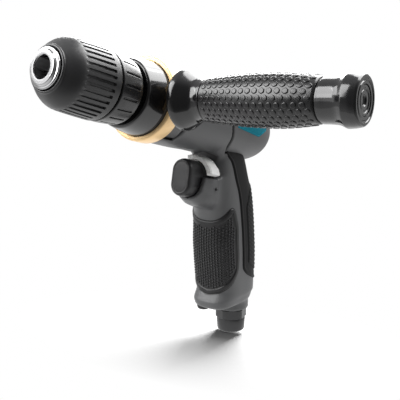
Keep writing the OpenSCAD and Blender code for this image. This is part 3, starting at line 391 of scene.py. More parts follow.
def onto(field, p, height, rounds, limit):
    """Moves points along the field's slope until the field has a given height there."""
    p = p.copy()
    for _ in range(rounds):
        g = slope_of(field, p)
        move = ((field(p) - height) / np.maximum((g * g).sum(1), 0.05))[:, None] * g
        size = np.linalg.norm(move, axis=1, keepdims=True)
        p -= move * np.minimum(1, limit / np.maximum(size, 1e-9))
    return p


def net(name, field, low, high, step, sharp=50):
    """A closed mesh of the surface field = 0."""
    axes = [np.arange(a, b + step, step) for a, b in zip(low, high)]
    shape = tuple(len(a) for a in axes)
    grid = np.stack(np.meshgrid(*axes, indexing="ij"), -1).reshape(-1, 3)
    parts = np.array_split(grid, max(1, len(grid) // 300000))
    values = np.concatenate([field(part) for part in parts]).reshape(shape)
    inside = values < 0
    corners = [(i, j, k) for i in (0, 1) for j in (0, 1) for k in (0, 1)]
    count = sum(inside[i:shape[0] - 1 + i, j:shape[1] - 1 + j, k:shape[2] - 1 + k].astype(np.int8)
                for i, j, k in corners)
    mixed = (count > 0) & (count < 8)
    cells = np.argwhere(mixed)
    number = np.full(mixed.shape, -1)
    number[mixed] = np.arange(len(cells))
    total, hits = np.zeros((len(cells), 3)), np.zeros(len(cells))
    for corner in corners:
        for axis in range(3):
            if corner[axis]:
                continue
            first = cells + corner
            second = first.copy()
            second[:, axis] += 1
            v0, v1 = values[tuple(first.T)], values[tuple(second.T)]
            cross = (v0 < 0) != (v1 < 0)
            point = first.astype(float)
            point[:, axis] += np.where(cross, v0 / np.where(cross, v0 - v1, 1), 0)
            total[cross] += point[cross]
            hits[cross] += 1
    verts = np.array([a[0] for a in axes]) + total / hits[:, None] * step
    verts = onto(field, verts, 0, 3, step * 0.5)
    faces = []
    for axis in range(3):
        o1, o2 = [k for k in range(3) if k != axis]
        a = np.moveaxis(inside, (axis, o1, o2), (0, 1, 2))
        ids = np.moveaxis(number, (axis, o1, o2), (0, 1, 2))
        i, j, k = np.nonzero(a[:-1, 1:-1, 1:-1] != a[1:, 1:-1, 1:-1])
        quads = [ids[i, j, k], ids[i, j + 1, k], ids[i, j + 1, k + 1], ids[i, j, k + 1]]
        faces.append(np.stack(quads, 1))
    return add_mesh(name, verts, np.concatenate(faces).tolist(), sharp)


# Patches that lie on a surface

def closed_curve(points, spacing):
    """A smooth closed curve through points, at an even spacing."""
    p0, p1, p2, p3 = (np.roll(points, shift, 0)[:, None] for shift in (1, 0, -1, -2))
    t = np.linspace(0, 1, 16, endpoint=False)[None, :, None]
    fine = 0.5 * (2 * p1 + (p2 - p0) * t + (2 * p0 - 5 * p1 + 4 * p2 - p3) * t ** 2
                  + (3 * p1 - p0 - 3 * p2 + p3) * t ** 3).reshape(-1, 2)
    loop = np.vstack([fine, fine[:1]])
    length = np.concatenate([[0], np.cumsum(np.linalg.norm(np.diff(loop, axis=0), axis=1))])
    at = np.linspace(0, length[-1], int(length[-1] / spacing), endpoint=False)
    return np.stack([np.interp(at, length, loop[:, k]) for k in (0, 1)], 1)


def inset(loop, distance):
    ahead, back = np.roll(loop, -1, 0), np.roll(loop, 1, 0)
    tangent = unit(ahead - back)
    normal = np.stack([-tangent[:, 1], tangent[:, 0]], 1)
    area = (loop[:, 0] * ahead[:, 1] - loop[:, 1] * ahead[:, 0]).sum()
    return loop + normal * distance * (1 if area > 0 else -1)


def within(points, loop):
    """Which points lie inside a closed loop."""
    x, y = points[:, 0][:, None], points[:, 1][:, None]
    x0, y0 = loop[:, 0][None], loop[:, 1][None]
    x1, y1 = np.roll(loop[:, 0], -1)[None], np.roll(loop[:, 1], -1)[None]
    rise = np.where(y1 == y0, 1e-12, y1 - y0)
    hit = ((y0 > y) != (y1 > y)) & (x < (x1 - x0) * (y - y0) / rise + x0)
    return hit.sum(1) % 2 == 1


def lattice(loop, pitch_u, pitch_v):
    """Points inside a loop in rows, every other row shifted by half a pitch."""
    low, high = loop.min(0), loop.max(0)
    start = -math.ceil(-low[0] / pitch_u) * pitch_u
    rows = np.arange(low[1], high[1] + pitch_v, pitch_v)
    points = np.array([(u, v) for j, v in enumerate(rows)
                       for u in np.arange(start + j % 2 * pitch_u / 2, high[0], pitch_u)])
    return points[within(points, loop)]


def patch(loop, rows, spacing, height):
    """Plane points, heights and triangles of a patch with a shaped border; rows are (inset, height)."""
    n = len(loop)
    edges = [(row * n + i, row * n + (i + 1) % n) for row in range(len(rows)) for i in range(n)]
    inner = lattice(inset(loop, rows[-1][0] + spacing * 0.7), spacing, spacing * 0.87)
    points = np.concatenate([inset(loop, distance) for distance, _ in rows] + [inner])
    heights = np.concatenate([np.full(n, level) for _, level in rows] + [height(inner)])
    result = delaunay_2d_cdt([Vector(p) for p in points], edges, [], 1, 1e-7)
    flat = np.array([tuple(v) for v in result[0]])
    nearest = [o[0] if o else int(((points - v) ** 2).sum(1).argmin()) for o, v in zip(result[3], flat)]
    return flat, heights[nearest], [tuple(f) for f in result[2]]


def level_at(value):
    """An even height for a patch."""
    return lambda q: np.full(len(q), value)


def section_curve(d, n=241):
    """Half sections of the grip from the front to the back: forward, side and length, one row per place."""
    turn = np.linspace(0, math.pi, n)
    rear, front, half = (np.interp(d, *t)[:, None] for t in (REAR, FRONT, HALF))
    cos, sin = np.cos(turn)[None], np.sin(turn)[None]
    a = (front + rear) / 2 + (front - rear) / 2 * np.sign(cos) * np.abs(cos) ** (2 / GRIP_POWER)
    y = half * np.abs(sin) ** (2 / GRIP_POWER)
    length = np.concatenate([np.zeros((len(d), 1)), np.cumsum(np.hypot(np.diff(a), np.diff(y)), 1)], 1)
    return a, y, length


def wrap(q, d, back):
    """World points on the grip's skin from the girth measured from its front or back centre line."""
    a, y, length = section_curve(d)
    out = np.zeros((len(q), 3))
    for i in range(len(q)):
        at = length[i, -1] - abs(q[i]) if back else abs(q[i])
        out[i] = (np.interp(at, length[i], a[i]), np.sign(q[i]) * np.interp(at, length[i], y[i]), d[i])
    return from_grip(out)


def pad_mesh(loop, rows, spacing, height, back, field):
    """Points and triangles of a pad on the grip."""
    flat, level, faces = patch(loop, rows, spacing, height)
    return onto(field, wrap(flat[:, 0], flat[:, 1], back), level, 5, 3), faces


def mirrored(half):
    """A closed outline from its half on one side, which starts and ends on the centre line."""
    half = np.asarray(half, float)
    other = half[::-1][1:-1] * [-1, 1]
    return np.vstack([half, other])


# Materials

def feed(tree, node, inputs):
    """Gives a node's inputs their values, or links them to outputs of other nodes."""
    for key, value in inputs.items():
        if isinstance(value, bpy.types.NodeSocket):
            tree.links.new(value, node.inputs[key])
        else:
            node.inputs[key].default_value = value


def node_maker(tree):
    """Makes a function that adds a shader node and returns one of its outputs."""
    def add(kind, output, inputs=None, **settings):
        node = tree.nodes.new("ShaderNode" + kind)
        for key, value in settings.items():
            setattr(node, key, value)
        feed(tree, node, inputs or {})
        return node.outputs[output]
    return add


LOOKS = {}
DRIFT_SCALE, DRIFT_DETAIL, GRAIN_DETAIL = 45, 5, 3
GRAIN_DEPTH, PIT_DEPTH = 0.0004, 0.0003


def look(name, color, rough, grain, bump, metallic=0, vary=0.12, rough_vary=0.08, spec=0.5,
         stretch=(1, 1, 1), pits=None):
    """A procedural finish: colour and roughness drift over the surface, and a grain in the bump."""
    mat = bpy.data.materials.new(name)
    mat.use_nodes = True
    tree = mat.node_tree
    add = node_maker(tree)
    place = add("TexCoord", "Object")
    drift = add("TexNoise", "Fac", {"Vector": place, "Scale": DRIFT_SCALE, "Detail": DRIFT_DETAIL})
    tint = add("Mix", "Result", {
        "Factor": drift, "A": (*[v * (1 - vary) for v in color], 1),
        "B": (*[min(1, v * (1 + vary)) for v in color], 1)}, data_type="RGBA")
    spread = add("MapRange", "Result", {
        "Value": drift, "To Min": max(0.02, rough - rough_vary), "To Max": min(1, rough + rough_vary)})
    stretched = add("Mapping", "Vector", {"Vector": place, "Scale": stretch})
    cells = add("TexNoise", "Fac", {"Vector": stretched, "Scale": grain, "Detail": GRAIN_DETAIL})
    normal = add("Bump", "Normal", {"Height": cells, "Strength": bump, "Distance": GRAIN_DEPTH})
    if pits:
        strength, scale = pits
        holes = add("TexVoronoi", "Distance", {"Vector": stretched, "Scale": scale})
        normal = add("Bump", "Normal", {
            "Height": holes, "Strength": strength, "Distance": PIT_DEPTH, "Normal": normal})
    feed(tree, tree.nodes["Principled BSDF"], {
        "Base Color": tint, "Roughness": spread, "Normal": normal,
        "Metallic": metallic, "Specular IOR Level": spec})
    LOOKS[name] = mat


def paint(node, name):
    """Gives a solid of the part its look."""
    solid = frame["nodes"][node]
    solid.data.materials.clear()
    solid.data.materials.append(LOOKS[name])


# Plastics and rubbers
look("housing_grey", (0.064, 0.065, 0.067), 0.46, 2600, 0.1, rough_vary=0.05, vary=0.05, pits=(0.05, 3200))
look("gear_case_black", (0.058, 0.058, 0.059), 0.38, 1800, 0.04, vary=0.08)
look("gloss_black", (0.009, 0.009, 0.0095), 0.13, 60, 0.012, spec=0.7, rough_vary=0.04)
look("chuck_black", (0.023, 0.023, 0.024), 0.36, 2200, 0.06, vary=0.1)
look("sleeve_gloss", (0.0105, 0.0105, 0.011), 0.27, 2200, 0.04, vary=0.1)
look("trigger_black", (0.019, 0.019, 0.02), 0.42, 2400, 0.05, spec=0.3, vary=0.06)
look("cover_black", (0.03, 0.03, 0.03), 0.5, 2000, 0.1)
look("insert_teal", (0.0005, 0.135, 0.185), 0.45, 1600, 0.05, spec=0.06, vary=0.1)
look("rubber_black", (0.011, 0.011, 0.0115), 0.23, 3000, 0.1, spec=0.6)
look("pad_rubber", (0.0085, 0.0085, 0.009), 0.4, 3000, 0.1, spec=0.35)
look("strip_rubber", (0.005, 0.005, 0.0054), 0.55, 3000, 0.1, spec=0.16)
look("vane_resin", (0.16, 0.075, 0.03), 0.55, 800, 0.1, stretch=(0.2, 1, 1))
look("muffler_felt", (0.3, 0.29, 0.27), 0.95, 700, 0.8, vary=0.3)
# Metals, bare and coated
look("clamp_gold", (0.97, 0.67, 0.34), 0.38, 1500, 0.06, metallic=0.3, stretch=(0.15, 1, 1), vary=0.05)
look("chuck_steel", (0.44, 0.44, 0.445), 0.15, 1400, 0.02, metallic=1, stretch=(3, 0.3, 0.3),
     vary=0.04, rough_vary=0.05)
look("tool_steel", (0.42, 0.42, 0.43), 0.34, 1500, 0.06, metallic=1, stretch=(4, 0.4, 0.4))
look("bearing_steel", (0.62, 0.62, 0.64), 0.15, 1200, 0.02, metallic=1)
look("fastener_black", (0.022, 0.022, 0.023), 0.42, 2000, 0.08)
look("fastener_steel", (0.5, 0.5, 0.52), 0.3, 1800, 0.06, metallic=1)
look("lever_cast", (0.66, 0.66, 0.65), 0.62, 1100, 0.9, metallic=0.15, vary=0.25, pits=(0.35, 1500))
look("valve_brass", (0.6, 0.38, 0.12), 0.3, 1500, 0.05, metallic=1)
look("inlet_dark", (0.036, 0.036, 0.037), 0.3, 1600, 0.1, metallic=0.6)
look("bore_steel", (0.24, 0.24, 0.245), 0.7, 1500, 0.06)
look("jaw_oxide", (0.17, 0.17, 0.175), 0.6, 1500, 0.06)

for entry in frame["record"]["subparts"]:
    paint(entry["node"], entry["material_slot"])


# Housing, its rear cover and a dark band in the joint between them, a painted shade for the seam's gap

housing = net("housing_shell", main_field, (-236, -28.5, -164), (-89, 28.5, 27.5), 0.85)
finish_piece(housing, "housing", "housing_grey", "main_housing")
rear = net("rear_shell", rear_field, (-227.5, -27.5, -27.5), (-147, 27.5, 27.5), 0.8)
finish_piece(rear, "housing", "housing_grey", "rear_cover")
# A very dark band in the seam, painted shade for the gap between the housing and its cover
seam_shade = net("seam_shade_band", seam_shade_field, (-168, -27, -27), (-147, 27, 27), 0.6)
finish_piece(seam_shade, "housing", "rubber_black", look="strip_rubber")


# Cover screws

def screws_piece():
    """Screws with hollow heads, sunk where the cover tapers; rows are (c, radius)."""
    rows = ((180.6, 1.45), (215.7, 1.45), (215.7, 2.7), (218.4, 2.7), (218.7, 2.4), (218.7, 1.5),
            (217, 1.4))
    sides = even_turns(24)
    verts, faces = [], []
    for turn in SCREW_TURNS:
        faces += drum(len(rows), len(sides), len(verts))
        y, z = SCREW_R * math.sin(turn), SCREW_R * math.cos(turn)
        verts += [(-c, y + r * math.cos(t), z + r * math.sin(t)) for c, r in rows for t in sides]
    return add_mesh("cover_screws_sunk", verts, faces, 30)


finish_piece(screws_piece(), "housing", "fastener_steel", "cover_screws")


# Stop under the toe of the grip

STOP_A, STOP_Y = 26.4, -8.6
stop_profile = rounded([(136, 0.1), (136, 5.2), (139.6, 5.1, 0.8), (140.9, 4.2, 1), (141.1, 0.1)], 4)


def on_toe(along, radius, turn):
    return from_grip(np.stack([STOP_A + radius * np.cos(turn), STOP_Y + radius * np.sin(turn), along], -1))


stop = lathe("toe_stop", stop_profile, on_toe, 48, closed=False)
finish_piece(stop, "housing", "rubber_black", look="pad_rubber")


# Front grip pad with a raised border and rows of dots; its half outline is (girth, d)

PAD_HALF = [
    (0, 68.3), (6, 67.8), (10.5, 66.3), (14.6, 63.8), (18.2, 60.8), (20.8, 58.9), (22.9, 58.8), (24.8, 60.6),
    (26, 64), (27, 68.5), (28.6, 76), (29.4, 91.7), (28.9, 101), (27.6, 107.5), (24.4, 112.6),
    (19.6, 117.6), (14.6, 120.9), (8.5, 124), (0, 126)]
# The first rows lay a flat strip of the dark rubber on the housing round each patch, a painted shade for the
# groove between the patch and the housing
SHADE_RIM = [(-0.75, -0.2), (-0.7, 0.07), (-0.1, 0.06)]
PAD_ROWS = SHADE_RIM + [(0.1, 0.5), (0.4, 0.85), (0.9, 1), (2.8, 1.05), (3.2, 0.95), (3.45, 0.5), (3.9, 0.38)]
PAD_HEIGHT, PAD_SPACING, OUTLINE_SPACING = 0.42, 2.2, 0.8
DOT_R, DOT_RISE, DOT_SIDES, DOT_LEVEL = 0.98, 0.8, 10, 0.36
DOT_MARGIN, DOT_PITCH, DOT_ROW = 4.7, 4.6, 1.1


def pad_dots(loop, start):
    """Points and faces of the small raised dots inside the pad's border."""
    flat = lattice(inset(loop, DOT_MARGIN), DOT_PITCH, DOT_ROW)
    centres = onto(house_field, wrap(flat[:, 0], flat[:, 1], False), DOT_LEVEL, 5, 3)
    normals = unit(slope_of(house_field, centres))
    rings = ((DOT_R, -0.25), (DOT_R * 0.93, DOT_RISE * 0.35), (DOT_R * 0.6, DOT_RISE * 0.85))
    verts, faces = [], []
    for centre, normal in zip(centres, normals):
        faces += dome(len(rings), DOT_SIDES, start + len(verts))
        side = unit(np.cross(normal, [0.3, 0.9, 0.2]))
        other = np.cross(normal, side)
        for r, h in rings:
            verts += [centre + (side * math.cos(t) + other * math.sin(t)) * r + normal * h
                      for t in even_turns(DOT_SIDES)]
        verts.append(centre + normal * DOT_RISE)
    return verts, faces


def pad_piece():
    loop = closed_curve(mirrored(PAD_HALF), OUTLINE_SPACING)
    verts, faces = pad_mesh(loop, PAD_ROWS, PAD_SPACING, level_at(PAD_HEIGHT), False, house_field)
    dot_verts, dot_faces = pad_dots(loop, len(verts))
    return add_mesh("grip_pad_rubber", np.vstack([verts, dot_verts]), faces + dot_faces, 55)


finish_piece(pad_piece(), "housing", "rubber_black", "grip_pad", look="pad_rubber")


# Rear grip strip with a ribbed band down the back; its half outline is (girth, d)

STRIP_HALF = [
    (0, 14), (12, 13.5), (26, 12.5), (33, 11.5), (36.6, 12.5), (37.2, 16), (36.5, 21.3), (36.6, 29),
    (37.6, 41), (37.9, 52.3), (38.2, 64.9), (38, 76.9), (38.2, 93.1), (38, 103), (37.5, 107.4),
    (35.6, 110), (30.4, 114.1), (17, 120.5), (9, 122.9), (0, 123.9)]
STRIP_ROWS = SHADE_RIM + [(0.1, 0.45), (0.45, 0.8), (0.9, 0.9), (1.5, 0.85), (1.9, 0.6), (2.4, 0.5)]
STRIP_SPACING, RIB_TOP, RIB_PITCH, RIB_SLANT = 0.7, 43, 3.4, 0.6
RIB_HALF = ([42, 48, 60, 110], [14, 21.5, 30.2, 30.6])
RIB_FOOT = ([0, 20, 31], [117, 111.8, 103.8])


def strip_height(q):
    """A smooth field with a raised, ribbed band in the middle."""
    u, d = np.abs(q[:, 0]), q[:, 1]
    foot = (np.interp(u, *RIB_FOOT) - d) * 0.85
    side = np.minimum(np.interp(d, *RIB_HALF) - u, np.minimum(d - RIB_TOP, foot))
    step = ramp(side, -0.5, 0.6) * 0.5 - 0.35 * np.exp(-((side + 0.7) / 0.5) ** 2)
    ridge = 0.5 + 0.5 * np.cos((d + RIB_SLANT * u) * 2 * math.pi / RIB_PITCH)
    return 0.5 + step + ramp(side, 1.2, 0.9) * (0.42 * ridge - 0.25)


def strip_piece():
    loop = closed_curve(mirrored(STRIP_HALF), OUTLINE_SPACING)
    verts, faces = pad_mesh(loop, STRIP_ROWS, STRIP_SPACING, strip_height, True, grip_field)
    return add_mesh("grip_strip_rubber", verts, faces, 60)


finish_piece(strip_piece(), "housing", "rubber_black", "grip_strip", look="strip_rubber")


# Side panels on the barrel; the corners are shares of the panel's length, along and up

PANEL_C, PANEL_LEN, PANEL_FILLET, PANEL_LEVEL = 160, 52, 1.2, 0.12
PANEL_SHARES = [(-0.07, -0.09), (0.55, -0.128), (0.765, 0), (0.765, 0.1), (0.56, 0.19), (-0.07, 0.155)]
PANEL_ROWS = [(0, -0.3), (0.05, 0.1), (0.3, 0.3), (0.7, 0.34), (1.05, 0.3), (1.25, 0.12), (1.7, PANEL_LEVEL)]


def barrel_r(c):
    """The barrel's radius, which tapers at the rear."""
    t = np.clip((c - (TOOL_LEN - REAR_TAPER)) / REAR_TAPER, 0, 1)
    return BARREL_R - REAR_ROUND * (1 - np.sqrt(1 - t * t))


def panel_loop():
    corners = [np.array((PANEL_C + a * PANEL_LEN, math.asin(b * PANEL_LEN / BARREL_R) * BARREL_R))
               for a, b in PANEL_SHARES]
    loop = []
    for i, corner in enumerate(corners):
        before, after = corners[i - 1], corners[(i + 1) % len(corners)]
        end = toward(corner, after, PANEL_FILLET)
        loop += bend(toward(corner, before, PANEL_FILLET), corner, end, 4)
        far = toward(after, corner, PANEL_FILLET)
        steps = max(2, int(np.linalg.norm(far - end) / PANEL_FILLET))
        loop += [end + (far - end) * k / steps for k in range(1, steps)]
    return np.array(loop)


def side_panel(name, sign):
    flat, level, faces = patch(panel_loop(), PANEL_ROWS, 2, level_at(PANEL_LEVEL))
    turn = flat[:, 1] / BARREL_R
    radius = barrel_r(flat[:, 0]) + level
    verts = np.stack([-flat[:, 0], sign * radius * np.cos(turn), radius * np.sin(turn)], 1)
    return add_mesh(name, verts, faces, 40)


for side, sign in (("left", 1), ("right", -1)):
    finish_piece(side_panel("side_panel_" + side, sign), "housing", "insert_teal", "side_insert_" + side)


# Chuck; the profiles of turned pieces are (along, radius, fillet)

FLUTES, SLOTS = 36, 18


def grooves(turn, count, half, edge):
    """1 in even grooves round a piece and 0 between them; widths are shares of the pitch."""
    return 1 - ramp(np.abs((turn * count / (2 * math.pi)) % 1 - 0.5), half, edge)


def flutes(along, radius, turn):
    """Slots that deepen to the rear, on the front sleeve."""
    depth = 0.9 * ramp(along, 12.8, 4.5) + 0.45 * ramp(along, 18, 14)
    end = 1 - ramp(along, 34.6, 0.7)
    return -grooves(turn, FLUTES, 0.17, 0.08) * depth * end * (radius > 18) * (along < 36)


def slots(along, radius, turn):
    """Narrow slots on the rear sleeve."""
    inside = ramp(along, 43.4, 0.6) * (1 - ramp(along, 55.4, 0.6))
    return -0.85 * grooves(turn, SLOTS, 0.055, 0.035) * inside * (radius > 19)


front_profile = dense(rounded([
    (22, 18.6), (6, 13), (3.6, 12.05), (3.3, 12.2, 0.2), (3.3, 13, 0.5), (3.9, 13.5, 0.4),
    (4.5, 13.6, 0.5), (8.2, 17.3, 4), (13.2, 20.3, 4.5), (24, 20.95, 3), (39.2, 21.5, 0.5), (40, 20.7, 0.4),
    (40, 18.7), (22, 18.65)]), 0.9)
front_sleeve = lathe("chuck_sleeve_front", front_profile, on_barrel, 432, flutes, sharp=38)
finish_piece(front_sleeve, "chuck_sleeve", "chuck_black", "chuck_front_sleeve")

rear_profile = dense(rounded([
    (41, 17.3), (41, 20.6, 0.4), (41.6, 21.2, 0.5), (47, 21.25, 2), (55.5, 20.75, 2), (58.2, 20.4, 1.2),
    (59.5, 19.2, 0.6), (59.5, 17.3), (50, 17.2)]), 0.55)
rear_sleeve = lathe("chuck_sleeve_rear", rear_profile, on_barrel, 432, slots, sharp=38)
finish_piece(rear_sleeve, "spindle", "chuck_black", "chuck_rear_sleeve", look="sleeve_gloss")

nose_profile = rounded([
    (0.95, 6.5), (0.6, 6.5, 0.1), (0.45, 6.6, 0.1), (0, 6.9, 0.1), (0, 9.5, 0.5), (1.6, 10.1, 0.4),
    (1.75, 11.1, 0.2), (2.1, 11.55, 0.35), (3.3, 11.6, 0.3), (4.2, 11.5), (20, 16.8), (40.5, 17),
    (58.5, 17), (58.5, 9), (40.5, 9), (40.5, 16), (20, 15.8), (4.6, 10.6), (2.6, 10.5), (1.7, 9.5),
    (0.95, 9)], 5)
nose = lathe("chuck_body_turned", nose_profile, on_barrel, 144, sharp=30)
finish_piece(nose, "spindle", "chuck_steel", "chuck_body")


# Bore of the chuck and its jaws

JAWS = ("jaw_1", "jaw_2", "jaw_3")
WALL_HALF, WALL_SECTION = 29.3, ((0.95, 6.55), (26, 6.55), (26, 7.7), (1.3, 7.7))
BACK_HALF, BACK_SECTION = 30.2, ((1.2, 7.4), (12, 10.3), (12, 10.8), (1.2, 7.9))


def sector(verts, faces, centre, half, section):
    """Adds a closed block between two turns, from its section's (c, r) corners."""
    turns = centre + math.radians(half) * np.linspace(-1, 1, 13)
    faces += drum(len(turns), len(section), len(verts))
    verts += [(-c, r * math.sin(t), r * math.cos(t)) for t in turns for c, r in section]


def bore_wall():
    """The bore's wall between the jaws' slots, and the slots' backs outside the jaws' paths."""
    verts, faces = [], []
    for name in JAWS:
        jaw_low, jaw_high = (np.array(v, float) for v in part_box(name))
        middle = (jaw_low + jaw_high) / 2
        jaw_turn = round(math.atan2(middle[1], middle[2]) / (math.pi / 6)) * math.pi / 6
        sector(verts, faces, jaw_turn + math.pi / 3, WALL_HALF, WALL_SECTION)
        sector(verts, faces, jaw_turn, BACK_HALF, BACK_SECTION)
    return add_mesh("chuck_bore_wall", verts, faces, 30)


finish_piece(bore_wall(), "spindle", "chuck_steel", look="bore_steel")
for name in JAWS:
    paint(name, "jaw_oxide")


# Collar and gear case

collar_profile = rounded([
    (62, 11.5), (62, 20.4, 0.3), (62.6, 21.4, 0.5), (63.4, 21.75, 0.4), (76.8, 24.2, 0.4), (77.4, 23.9, 0.3),
    (77.4, 17.7), (63, 17.7)])
collar = lathe("collar_gloss", collar_profile, on_barrel, 160)
finish_piece(collar, "housing", "gloss_black", "front_collar")

CASE_STEP_R = 23.9
case_profile = rounded([
    (77.5, 11.7), (77.5, CASE_STEP_R), (90.5, CASE_STEP_R), (90.5, 25.2, 0.4), (91.2, 26, 0.6),
    (99.7, 26, 0.5), (100.3, 25.4, 0.3), (100.3, 23.6), (108, 23.6), (108, 22.3), (94, 22.3), (94, 19.2),
    (89.4, 19.2), (89.4, 17.6), (78.6, 17.6), (78.6, 11.7)])


def case_foot(along, radius, turn):
    """Lower at the bottom, where the housing's tongue reaches over it."""
    bottom = 1 - ramp(np.abs(turn - math.pi), 0.56, 0.03)
    return -0.97 * np.maximum(radius - CASE_STEP_R, 0) * bottom * (along > 90) * (along < 101)


case = lathe("gear_case_turned", case_profile, on_barrel, 480, case_foot)
finish_piece(case, "housing", "gear_case_black", "gear_case")


# Clamp ring; its outer rows are (c, shrink) and its bore's rows (c, radius)

RING_R, EAR_REACH, EAR_HALF, EAR_BLEND = 27.24, 30.1, 10.8, 2.2
RING_ROWS = ((79, 1.3), (79.15, 0.7), (79.5, 0.25), (80.1, 0), (89.1, 0), (89.7, 0.25), (90.05, 0.7),
             (90.2, 1.3))
BORE_ROWS = ((90.2, 24.6), (89.7, 24.1), (79.5, 24.1), (79, 24.6))


def clamp_radius(shrink, turn):
    """The outline of the ring with its ear to the side handle."""
    y, z = np.cos(turn), np.sin(turn)
    reach, half = EAR_REACH - shrink, EAR_HALF - shrink
    front = y > 0.05
    ear = np.zeros(len(turn))
    ear[front] = np.minimum(reach / y[front], half / np.maximum(np.abs(z[front]), 1e-6))
    outline = smooth_max(np.full(len(turn), RING_R - shrink), ear, EAR_BLEND)
    return np.minimum(outline, np.hypot(reach, half) - 0.4)


def clamp_piece():
    turn = even_turns(240)
    radii = [(c, clamp_radius(shrink, turn)) for c, shrink in RING_ROWS] + list(BORE_ROWS)
    loops = [across(c, r * np.cos(turn), r * np.sin(turn)) for c, r in radii]
    return loft("clamp_ring_gold", loops + loops[:1], 40, caps=False)


finish_piece(clamp_piece(), "handle_ring", "clamp_gold", "clamp_ring")


# Side handle

core_profile = rounded([
    (30.5, 4.2), (30.5, 15.6, 0.8), (30.9, 17.6, 0.9), (32.3, 18.7, 1.2), (35.2, 18.3, 2.4),
    (39.6, 15.6, 3.5), (43.8, 12.8, 3.2), (46.8, 12.45, 1), (48.3, 12.45, 0.3), (48.6, 12.9, 0.3),
    (49.6, 12.9, 0.3), (50, 12.4, 0.2), (50, 9), (122, 9), (122, 11.6, 0.2),
    (123.2, 11.6, 0.2), (123.4, 12.4, 0.3), (128.5, 12.35, 3), (133.4, 12.7, 3.5), (137, 14.45, 0.5),
    (141, 14.1, 1), (144.2, 13.4, 0.5), (145, 12.6, 0.3), (145, 11.4, 0.2), (144.3, 11.1, 0.2),
    (144.3, 10.1, 0.2), (144.9, 9.7, 0.2), (144.9, 8.2, 0.15), (141, 8.1), (141, 4.2)], 5)
core = lathe("side_handle_core", core_profile, on_handle, 144, sharp=45)
finish_piece(core, "side_handle", "gloss_black", "handle_core")

plug_profile = rounded([
    (141.2, 0.2), (141.2, 7.9), (144.5, 7.9, 0.3), (144.5, 6.6, 0.2), (143.9, 6.3, 0.2), (143.9, 5.4, 0.2),
    (144.3, 5.1, 0.2), (144.3, 3.2, 0.3), (143.2, 2.6, 0.3), (143.2, 0.2)], 4)
plug = lathe("side_handle_plug", plug_profile, on_handle, 96, closed=False, sharp=45)
finish_piece(plug, "side_handle", "gloss_black", "handle_end_plug")


# Rubber sleeve of the side handle, with raised hexagonal studs that grow towards the far end

RUBBER_START, RUBBER_LEN, RUBBER_PEAK, RUBBER_PEAK_R = 50, 73, 0.59, 15.15
RUBBER_END_R, RUBBER_TAPER = 12.9, 0.5
STUD_LINES, STUD_START, STUD_END, STUD_SPAN = 24, 53, 118.6, 66
STUD_PITCH, STUD_GROWTH, STUD_SHARE, STUD_TOP = 4, 0.85, 0.405, 0.36
STUD_ASPECT, STUD_MEAN_R = 0.98, 14.6
STUD_CORNERS = np.where(np.arange(12) % 2, 1, 0.93)
STUD_RINGS = ((1, -0.15), (0.98, 0.2), (0.86, 0.42), (0.64, 0.45))


def rubber_r(along):
    """The sleeve's radius between the studs: it swells from both ends to its thickest place."""
    t = (along - RUBBER_START) / RUBBER_LEN
    rise = np.sin(np.clip(t / RUBBER_PEAK, 0, 1) * math.pi / 2)
    fall = np.cos(np.clip((t - RUBBER_PEAK) / (1 - RUBBER_PEAK), 0, 1) * math.pi / 2)
    ends = RUBBER_END_R - RUBBER_TAPER * t
    return ends + (RUBBER_PEAK_R - ends) * np.where(t < RUBBER_PEAK, rise, fall)


def stud_pitch(along):
    return STUD_PITCH + STUD_GROWTH * (along - STUD_START) / STUD_SPAN


def stud_points(along, turn):
    """Rings of points from the foot of a stud to its top, and the middle of the top."""
    t = even_turns(len(STUD_CORNERS))
    points = []
    for scale, rise in STUD_RINGS:
        size = STUD_SHARE * stud_pitch(along) * scale * STUD_CORNERS
        place = along + size * np.cos(t)
        wide = STUD_ASPECT / STUD_MEAN_R * size * np.sin(t)
        points.append(on_handle(place, rubber_r(place) + rise, turn + wide))
    points.append(on_handle(along, rubber_r(along) + STUD_TOP, turn)[None])
    return np.concatenate(points).tolist()


def rubber_piece():
    count = 120
    skin = [(s, rubber_r(s)) for s in np.linspace(50.4, 121.4, 73)]
    profile = np.array([(50.1, 9.1), (50.1, 12.5)] + skin + [(121.9, 12.1), (121.9, 9.1)])
    verts = turned(profile, on_handle, count).tolist()
    faces = bands(len(profile), count, closed=True)
    places = [STUD_START]
    while places[-1] < STUD_END:
        places.append(places[-1] + stud_pitch(places[-1]))
    middles = [(a + b) / 2 for a, b in zip(places[:-1], places[1:])]
    for line in range(STUD_LINES):
        for along in (middles if line % 2 else places):
            start = len(verts)
            verts += stud_points(along, (line + 0.5) * 2 * math.pi / STUD_LINES)
            faces += dome(len(STUD_RINGS), len(STUD_CORNERS), start) + [lid(0, len(STUD_CORNERS), start)]
    return add_mesh("side_handle_rubber", verts, faces, 50)


finish_piece(rubber_piece(), "side_handle", "rubber_black", "handle_rubber")


# Trigger; its rows are (behind the face, shrink)

TRIGGER_ROWS = (
    (15.4, 0.6), (15.2, 0.1), (12.55, 0), (12.45, 0), (3.4, 0), (2.1, 0.12), (1.2, 0.4), (0.5, 0.9),
    (0.1, 1.5), (0.03, 1.9), (0.2, 2.15), (0.32, 2.5), (0.25, 2.9), (0.14, 4.2), (0.06, 6), (0.03, 7.8))
# The step at its back leaves room for the cross pin when the trigger is pressed
PIN_STEP_C, PIN_STEP_FOOT = 12.5, -4.2


